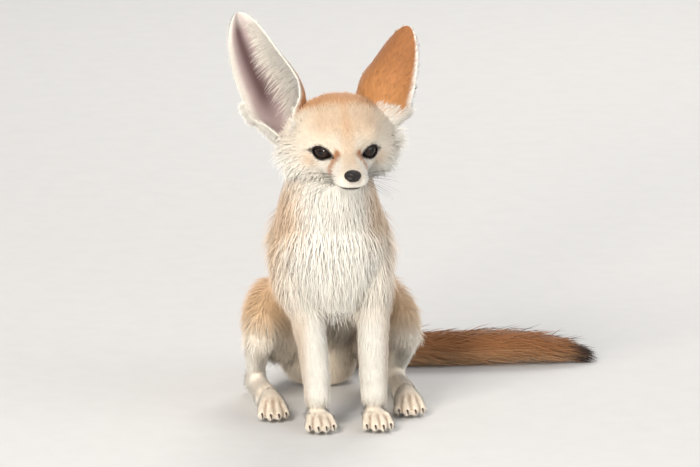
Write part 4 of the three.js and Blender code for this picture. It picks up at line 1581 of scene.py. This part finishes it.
@dataclass
class Strands:
    """Single long hairs given one by one: fringes, plumes and whiskers."""

    name: str
    rings: int = 4

    def build(
        self, roots: Array, out: Array, lie: Array, length: Array, width: Array, bend: Array, colour: Array
    ) -> list[Piece]:
        """Makes the hairs.

        Args:
            roots: where they start, in layout mm.
            out: the ways out of the surface.
            lie: the ways they run.
            length: their lengths.
            width: their widths.
            bend: how far each bends, as rows to be added at its tip.
            colour: their colours.

        Returns:
            The new objects.
        """
        count = len(roots)
        steps = np.linspace(0, 1, self.rings + 1)
        s = steps[None, :, None]
        axis = roots[:, None] + lie[:, None] * length[:, None, None] * s + bend[:, None] * s**2
        across = unit(np.cross(lie, out))
        over = np.cross(across, lie)
        half = width[:, None] / 2 * np.interp(steps[:-1], [0, 0.3, 0.7, 1], [0.9, 1.0, 0.7, 0.1])
        points = strand_points(axis, across, over, half)
        # painted shade: each strand darker at its root and a little lighter at its tip
        shade = np.concatenate([np.repeat(0.86 + 0.14 * steps[:-1], 3), [1.02]])
        colours = colour[:, None] * shade[None, :, None]
        place = np.stack([np.linspace(0.02, 0.98, count), np.full(count, 0.99)], axis=1)
        soft = unit(strand_normals(across, over, self.rings) * SHARP + out[:, None] * (1 - SHARP))
        return strand_pieces(self.name, points, colours, place, soft)


# ---- face details


@dataclass
class Face:
    """The nose, whiskers, fringes and plumes of the head."""

    ears: list[Ear]
    seed: int = 11

    def build_nose(self) -> Piece:
        """The nose pad with its nostrils and the groove between them."""
        form = strung(
            "nose",
            ((0, -57.5, -10.2), 4.7, 3.4, 4.6, 0, 0),
            ((0, -60.8, -10.2), 6.1, 3.9, 4.7, 0, 0),
            ((0, -63.2, -10.8), 5.3, 3.3, 4.0, 0, 0),
            domes=(2, 2.4),
            hint=UP,
            offset=HEAD_AT,
        )
        nose = form.build(48, 48)
        rename(nose, "nose")
        turn_outwards(nose)
        points = to_layout(read_points(nose)) - HEAD_AT
        for side in (-1, 1):
            for centre, reach, depth in (((3.0, -66.2, -10.6), 1.5, 2.2), ((4.9, -64.2, -11.4), 1.3, 1.5)):
                pull = blob(points, (centre[0] * side, *centre[1:]), reach)
                points += pull[:, None] * np.array([0.0, depth, 0.25])
        x, y, z = points.T
        groove = np.exp(-((x / 0.55) ** 2)) * smooth(-8.5, -11.5, z) * smooth(-61, -64, y)
        points[:, 1] += 0.7 * groove
        write_points(nose, to_world(points + HEAD_AT))
        shade_smooth(nose)
        return nose

    def build_whiskers(self) -> list[Piece]:
        """Fine dark whiskers in rows on both sides of the muzzle."""
        random = np.random.default_rng(self.seed)
        roots, lies, lengths = [], [], []
        for side in (-1, 1):
            for row in range(4):
                for k in range(4):
                    y = -55.0 + 3.1 * k + 0.6 * row
                    z = -12.2 - 1.75 * row
                    wide = np.interp(y, [-58, -47, -40], [8.2, 11.0, 12.4]) - 0.25 * row
                    roots.append((side * wide, y, z))
                    lies.append((side * (0.9 - 0.05 * k), 0.12 + 0.1 * k, 0.12 - 0.17 * row))
                    lengths.append(random.uniform(24, 38) * (0.75 + 0.11 * k))
        roots = np.array(roots) + HEAD_AT
        lies = unit(np.array(lies) + random.normal(0, 0.04, (len(lies), 3)))
        count = len(roots)
        colour = np.tile(Palette.DARK, (count, 1)) * random.uniform(0.8, 2.2, count)[:, None]
        out = np.tile(UP, (count, 1))
        width = np.full(count, 0.34)
        bend = np.tile([0.0, 7.0, -6.0], (count, 1))
        return Strands("whiskers", 7).build(roots, out, lies, np.array(lengths), width, bend, colour)

    def build_fringes(self) -> list[Piece]:
        """Long white hairs across the cup of each ear."""
        made = []
        for ear in self.ears:
            random = np.random.default_rng(self.seed + ear.front)
            count = 2600
            along = 0.03 + 0.88 * random.random(count) ** 1.35
            place = random.uniform(0.12, 0.97, count)
            middle, out, tangents = ear.frame(place, along)
            further, _, _ = ear.frame(place - 0.3, along)
            stray = random.normal(0, 0.15, (count, 3))
            lie = unit(further - middle)
            lie = unit(lie + out * -0.34 - tangents * (0.5 - 0.75 * along)[:, None] + stray)
            roots = middle - out * 0.9
            radius = np.interp(along, np.linspace(0, 1, len(EAR_SECTIONS)), EAR_SECTIONS[:, 0])
            length = (28 - 20 * along) * random.uniform(0.4, 1.15, count)
            length *= 0.3 + 0.7 * smooth(0.92, 0.6, along)
            length = np.minimum(length, radius * 1.15)
            curve = -tangents * 0.18 + out * 0.05
            for _ in range(8):
                tips = roots + (lie + curve) * length[:, None]
                length = np.where(ear.room(tips) < 1.5, length * 0.8, length)
            bend = curve * length[:, None]
            colour = Palette.WHITE * random.uniform(0.88, 1.0, count)[:, None]
            width = random.uniform(0.2, 0.36, count)
            strands = Strands("fringe_" + ear.name.split("_")[1], 4)
            made += strands.build(roots, -out, lie, length, width, bend, colour)
        return made

    def build_plumes(self) -> list[Piece]:
        """White plumes at the foot of each ear and in the right one's mouth."""
        random = np.random.default_rng(self.seed + 5)
        roots, lies, lengths, outs = [], [], [], []

        def add(spots: Array, way: Array, stray: float, reach: tuple[float, float], out: Array) -> None:
            """Takes up one plume's hairs."""
            roots.append(spots)
            lies.append(unit(way + random.normal(0, stray, spots.shape)))
            lengths.append(random.uniform(*reach, len(spots)))
            outs.append(np.broadcast_to(out, spots.shape))

        for spot, way, spread, count in (
            ((36, 2, 3), (0.85, -0.2, 0.25), 5.5, 320),
            ((-30, 2, 12), (-0.55, -0.75, 0.4), 5.0, 420),
        ):
            strewn = random.normal(0, 1, (count, 3)) * np.array([0.5, spread, spread]) * 0.6
            out = np.array([0.3 * np.sign(spot[0]), -0.5, 0.8])
            add(np.array(spot) + HEAD_AT + strewn, np.array(way), 0.22, (7, 15), out)
        right, left = self.ears
        count = 1200
        along = random.uniform(0.0, 0.42, count)
        rim, out, _ = right.frame(random.uniform(-1.0, -0.86, count), along)
        rim += out * random.uniform(-0.6, 0.4, count)[:, None]
        way = mix(np.array([-0.62, -0.45, -0.42]), np.array([-0.8, -0.35, 0.12]), smooth(0.25, 0.38, along))
        add(rim, way, 0.2, (3.5, 7.5), np.array([-0.6, -0.55, 0.55]))
        lengths[-1] *= 1 - 0.45 * np.exp(-(((along - 0.19) / 0.05) ** 2))
        count = 1000
        rim, out, _ = left.frame(random.uniform(-1.0, -0.2, count), random.uniform(0.0, 0.32, count))
        way = np.array([0.42, -0.22, 0.72])
        add(rim + out * 0.3, way, 0.16, (4, 8.5), out * 0.6 + np.array([0.0, -0.3, 0.6]))
        lie = np.vstack(lies)
        length = np.concatenate(lengths)
        count = len(length)
        bend = np.tile(np.array([0, 1.0, -2.0]), (count, 1))
        colour = Palette.WHITE * random.uniform(0.82, 1.0, count)[:, None]
        out = unit(np.vstack(outs))
        width = random.uniform(0.26, 0.46, count)
        return Strands("plumes", 4).build(np.vstack(roots), out, lie, length, width, bend, colour)


# ---- finishes


def add_node(
    tree: Tree, kind: str, values: dict[str | int, float] | None = None, **settings: object
) -> bpy.types.Node:
    """Adds a shader node.

    Args:
        tree: where it goes.
        kind: its type, without the ShaderNode before it.
        values: numbers for its inputs, by name or place.
        settings: the node's own settings.

    Returns:
        The node.
    """
    node = tree.nodes.new("ShaderNode" + kind)
    for key, value in settings.items():
        setattr(node, key, value)
    for key, value in (values or {}).items():
        node.inputs[key].default_value = value
    return node


def wire(tree: Tree, *wires: tuple) -> None:
    """Joins nodes, each wire given as node, output, node, input."""
    for start, output, end, entry in wires:
        tree.links.new(start.outputs[output], end.inputs[entry])


def mottle_group() -> Tree:
    """A shared effect that varies a colour finely and gives a height to go with it."""
    group = bpy.data.node_groups.new("mottle", "ShaderNodeTree")
    face = group.interface
    face.new_socket("Colour", in_out="INPUT", socket_type="NodeSocketColor")
    for name, value in (("Scale", 300.0), ("Stretch", 1.0), ("Strength", 0.2)):
        face.new_socket(name, in_out="INPUT", socket_type="NodeSocketFloat").default_value = value
    face.new_socket("Colour", in_out="OUTPUT", socket_type="NodeSocketColor")
    face.new_socket("Height", in_out="OUTPUT", socket_type="NodeSocketFloat")
    start = group.nodes.new("NodeGroupInput")
    end = group.nodes.new("NodeGroupOutput")
    place = add_node(group, "TexCoord")
    fine = add_node(group, "TexNoise", {"Detail": 4.0})
    broad = add_node(group, "TexNoise", {"Scale": 45.0})
    both = add_node(group, "Math", operation="ADD")
    dark = add_node(group, "Math", {2: 1.0}, operation="MULTIPLY_ADD")
    centre = add_node(group, "Math", {1: 1.0}, operation="SUBTRACT")
    colour = add_node(group, "VectorMath", operation="SCALE")
    wire(
        group,
        (place, "Object", fine, "Vector"),
        (place, "Object", broad, "Vector"),
        (start, "Scale", fine, "Scale"),
        (start, "Stretch", fine, "Distortion"),
        (fine, "Fac", both, 0),
        (broad, "Fac", both, 1),
        (both, 0, centre, 0),
        (centre, 0, dark, 0),
        (start, "Strength", dark, 1),
        (start, "Colour", colour, 0),
        (dark, 0, colour, "Scale"),
        (colour, 0, end, "Colour"),
        (fine, "Fac", end, "Height"),
    )
    return group


@dataclass(frozen=True)
class Finish:
    """A finish whose colour is mottled, with a fine bump."""

    name: str
    colour: Point | None = None
    scale: float = 400.0
    stretch: float = 0.0
    strength: float = 0.3
    bump: float = 0.0
    bump_depth: float = 0.0003
    roughness: float = 0.6
    coat: float = 0.0
    sheen: float = 0.0
    specular: float = 0.5

    def start(self) -> tuple[bpy.types.Material, bpy.types.ShaderNode]:
        """A new material with its shader's constant values set."""
        material = bpy.data.materials.new(self.name)
        material.use_nodes = True
        shader = material.node_tree.nodes["Principled BSDF"]
        for name, value in (
            ("Roughness", self.roughness),
            ("Coat Weight", self.coat),
            ("Coat Roughness", 0.03),
            ("Sheen Weight", self.sheen),
            ("Sheen Roughness", 0.45),
            ("Specular IOR Level", self.specular),
        ):
            shader.inputs[name].default_value = value
        return material, shader

    def build(self, group: Tree) -> bpy.types.Material:
        """Makes the material.

        Args:
            group: the shared mottle.

        Returns:
            The material.
        """
        material, shader = self.start()
        tree = material.node_tree
        values = {"Scale": self.scale, "Stretch": self.stretch, "Strength": self.strength}
        mottle = add_node(tree, "Group", values, node_tree=group)
        if self.colour is None:
            source = add_node(tree, "Attribute", attribute_name=ATTRIBUTE)
            wire(tree, (source, "Color", mottle, "Colour"))
        else:
            mottle.inputs["Colour"].default_value = (*self.colour, 1.0)
        wire(tree, (mottle, "Colour", shader, "Base Color"))
        if self.bump > 0:
            bump = add_node(tree, "Bump", {"Strength": self.bump, "Distance": self.bump_depth})
            wire(tree, (mottle, "Height", bump, "Height"), (bump, "Normal", shader, "Normal"))
        return material


@dataclass(frozen=True)
class EyeFinish(Finish):
    """A wet dark brown eye with a round pupil."""

    def build(self, group: Tree) -> bpy.types.Material:
        """Makes the material from the eye's own polar places."""
        material, shader = self.start()
        tree = material.node_tree
        polar = add_node(tree, "Attribute", attribute_name="iris")
        split = add_node(tree, "SeparateXYZ")
        ramp = add_node(tree, "ValToRGB")
        stops = [
            (0.0, (4, 3, 3)),
            (0.24, (5, 4, 3)),
            (0.27, (22, 12, 8)),
            (0.44, (46, 26, 15)),
            (0.56, (30, 17, 10)),
            (0.62, (14, 8, 6)),
            (0.72, (30, 20, 16)),
            (1.0, (40, 28, 24)),
        ]
        while len(ramp.color_ramp.elements) < len(stops):
            ramp.color_ramp.elements.new(0.5)
        for element, (place, colour) in zip(ramp.color_ramp.elements, stops):
            element.position = place
            element.color = (*paint(*colour), 1.0)
        rays = add_node(tree, "TexNoise", {"Scale": 9.0, "Detail": 5.0})
        stretch = add_node(tree, "CombineXYZ")
        spread = add_node(tree, "Math", {1: 3.0}, operation="MULTIPLY")
        shift = add_node(tree, "Math", {1: 0.12}, operation="MULTIPLY_ADD")
        bright = add_node(tree, "VectorMath", operation="SCALE")
        gain = add_node(tree, "Math", {1: 1.4, 2: 0.3}, operation="MULTIPLY_ADD")
        wire(
            tree,
            (polar, "Vector", split, 0),
            (split, "Y", spread, 0),
            (spread, 0, stretch, "X"),
            (split, "X", stretch, "Y"),
            (stretch, 0, rays, "Vector"),
            (rays, "Fac", shift, 0),
            (split, "X", shift, 2),
            (shift, 0, ramp, "Fac"),
            (rays, "Fac", gain, 0),
            (ramp, "Color", bright, 0),
            (gain, 0, bright, "Scale"),
            (bright, 0, shader, "Base Color"),
        )
        return material


@dataclass(frozen=True)
class NoseFinish(Finish):
    """Brown-black leather with fine round pebbles."""

    def build(self, group: Tree) -> bpy.types.Material:
        """Makes the material, with cells for its bump."""
        material = Finish.build(self, group)
        tree = material.node_tree
        place = add_node(tree, "TexCoord")
        cells = add_node(tree, "TexVoronoi", {"Scale": 1500.0})
        bump = add_node(tree, "Bump", {"Strength": 0.5, "Distance": 0.0003}, invert=True)
        wire(
            tree,
            (place, "Object", cells, "Vector"),
            (cells, "Distance", bump, "Height"),
            (bump, "Normal", tree.nodes["Principled BSDF"], "Normal"),
        )
        return material


def dress(pieces: list[Piece], material: bpy.types.Material) -> None:
    """Gives pieces one material."""
    for piece in pieces:
        piece.data.materials.clear()
        piece.data.materials.append(material)


# ---- stage


@dataclass
class Stage:
    """A pale floor, soft studio lights and the camera."""

    target: Point = (0.0166, -0.0386, 0.1198)
    distance: float = 6.0
    turn: float = math.radians(-8)
    lift: float = math.radians(12)
    lens: float = 426.0

    def build(self) -> None:
        """Makes all of it."""
        self.floor()
        self.world()
        self.lamp("key", (-1.3, -1.9, 1.8), 0.8, 56.0, (1.0, 0.96, 0.91))
        self.lamp("catch", (-1.1, -2.45, 0.75), 0.34, 24.0, (1.0, 0.96, 0.9))
        self.lamp("fill", (1.7, -1.4, 1.0), 1.6, 16.0, (0.92, 0.96, 1.0))
        self.lamp("rim", (0.7, 1.6, 1.7), 1.1, 26.0, (1.0, 0.98, 0.95))
        self.camera()

    def floor(self) -> None:
        """The floor, outside the object."""
        bpy.ops.mesh.primitive_plane_add(size=40.0, location=(0, 0, 0))
        plane = bpy.context.object
        plane.name = "floor"
        grey = (0.62, 0.605, 0.58)
        finish = Finish("floor_paint", grey, scale=60.0, strength=0.05, roughness=0.85, specular=0.2)
        dress([plane], finish.build(mottle_group()))

    def world(self) -> None:
        """An even pale surround."""
        world = bpy.data.worlds.new("studio")
        world.use_nodes = True
        back = world.node_tree.nodes["Background"]
        back.inputs["Color"].default_value = (0.93, 0.95, 1.0, 1.0)
        back.inputs["Strength"].default_value = 0.56
        bpy.context.scene.world = world

    def lamp(self, name: str, at: Point, size: float, power: float, tint: Point) -> None:
        """One soft area light aimed at the fox."""
        data = bpy.data.lights.new(name, "AREA")
        data.size = size
        data.energy = power
        data.color = tint
        lamp = bpy.data.objects.new(name, data)
        bpy.context.scene.collection.objects.link(lamp)
        lamp.location = at
        lamp.rotation_euler = (Vector(self.target) - Vector(at)).to_track_quat("-Z", "Y").to_euler()

    def camera(self) -> None:
        """The camera, at the photograph's angle and framing."""
        data = bpy.data.cameras.new("view")
        data.lens = self.lens
        data.sensor_width = 36.0
        camera = bpy.data.objects.new("view", data)
        bpy.context.scene.collection.objects.link(camera)
        a, e = self.turn, self.lift
        forward = Vector((-math.sin(a) * math.cos(e), math.cos(a) * math.cos(e), -math.sin(e)))
        camera.location = Vector(self.target) - forward * self.distance
        camera.rotation_euler = forward.to_track_quat("-Z", "Y").to_euler()
        data.clip_end = 100.0
        bpy.context.scene.camera = camera
        bpy.context.scene.view_settings.view_transform = "Standard"


# ---- the whole fox

FLESH = (
    *("head", "lower_jaw", "ear_left", "ear_right", "neck"),
    *("torso_front", "torso_rear", "tail_base", "tail_middle", "tail_tip"),
)
LEG_PARTS = ("upper_arm", "forearm", "forepaw", "thigh", "shank", "hind_foot")


@dataclass
class Fox:
    """All pieces of the fox in the order in which they are made."""

    forms: list[Form] = field(default_factory=body_forms)
    ears: list[Ear] = field(default_factory=both_ears)
    eyes: list[Eye] = field(default_factory=lambda: [Eye(1), Eye(-1)])

    def build(self) -> None:
        """Makes, dresses and declares every piece."""
        group = mottle_group()
        hair = {"strength": 0.22, "roughness": 0.62, "sheen": 0.25, "specular": 0.3}
        fur = Finish("coat_hair", scale=900.0, **hair).build(group)
        short = {"strength": 0.3, "bump": 0.4, "bump_depth": 0.0004, "roughness": 0.75, "sheen": 0.3}
        under = Finish("short_coat", scale=1100.0, specular=0.25, **short).build(group)
        skin = Skin(self.forms, self.ears, self.eyes).build()
        plan = CoatPlanner(Body(self.forms), self.ears, self.eyes).plan(skin)
        # painted shade: the skin under the coat a little darker than its markings
        set_colours(skin, plan.colour * 0.94)
        self.declare([skin], under)
        legs = [f"{part}_{side}" for part in LEG_PARTS for side in ("left", "right")]
        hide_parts(*FLESH, *legs)
        self.coat(skin, plan, fur)
        self.details(fur, group)

    def coat(self, skin: Piece, plan: Plan, fur: bpy.types.Material) -> None:
        """Grows the coat, region by region."""
        tufts = Tufts(skin, plan, thin=1.0)
        for region, amount, rings, slot in (
            (Region.HEAD, 6.5, 2, "face_fur"),
            (Region.EARS, 2.5, 2, "ear_skin"),
            (Region.NECK, 15.2, 2, "cream_fur"),
            (Region.TRUNK, 9.75, 2, "back_fur"),
            (Region.ARMS, 4.6, 2, "cream_fur"),
            (Region.PAWS, 2.5, 2, "cream_fur"),
            (Region.HAUNCH, 4.5, 2, "back_fur"),
            (Region.TAIL, 7.4, 3, "tail_fur"),
        ):
            self.declare(tufts.grow(region, amount, rings), fur)

    def details(self, fur: bpy.types.Material, group: Tree) -> None:
        """Makes the eyes, lids, nose, claws, whiskers and long white hairs."""
        wet = EyeFinish("wet_eye", roughness=0.5, coat=0.6, specular=0.05).build(group)
        brown = tuple(paint(24, 17, 14))
        rim = Finish("lid_skin", brown, scale=700.0, bump=0.3, roughness=0.5, specular=0.25).build(group)
        for eye, name in zip(self.eyes, ("eye_left", "eye_right")):
            ball = eye.build_ball(name + "_ball")
            self.declare([ball], wet)
            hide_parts(name)
            lid = eye.build_rim()
            lid.name = name.replace("eye", "lids")
            self.declare([lid], rim)
        face = Face(self.ears)
        nose = face.build_nose()
        black = tuple(paint(25, 19, 17))
        leather = NoseFinish("nose_leather", black, scale=500.0, roughness=0.4, specular=0.42)
        self.declare([nose], leather.build(group))
        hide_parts("nose_pad")
        claws = [claw for paw in all_paws() for claw in paw.claws()]
        grey = tuple(paint(70, 56, 46))
        horn = Finish("claw_horn", grey, scale=350.0, stretch=2.0, strength=0.5, roughness=0.35)
        self.declare([joined("claws", claws)], horn.build(group))
        self.declare(face.build_whiskers(), fur)
        self.declare(face.build_fringes() + face.build_plumes(), fur)

    def declare(self, pieces: list[Piece], material: bpy.types.Material) -> None:
        """Dresses pieces, fixes them to the body and reports them."""
        dress(pieces, material)
        for piece in pieces:
            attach(piece, "root")
            LOG.info("%s: %d faces", piece.name, len(piece.data.polygons))


def main() -> None:
    """Builds the fox and its stage."""
    logging.basicConfig(level=logging.INFO, format="%(message)s")
    bpy.ops.object.select_all(action="DESELECT")
    Stage().build()
    Fox().build()


if __name__ == "__main__":
    main()
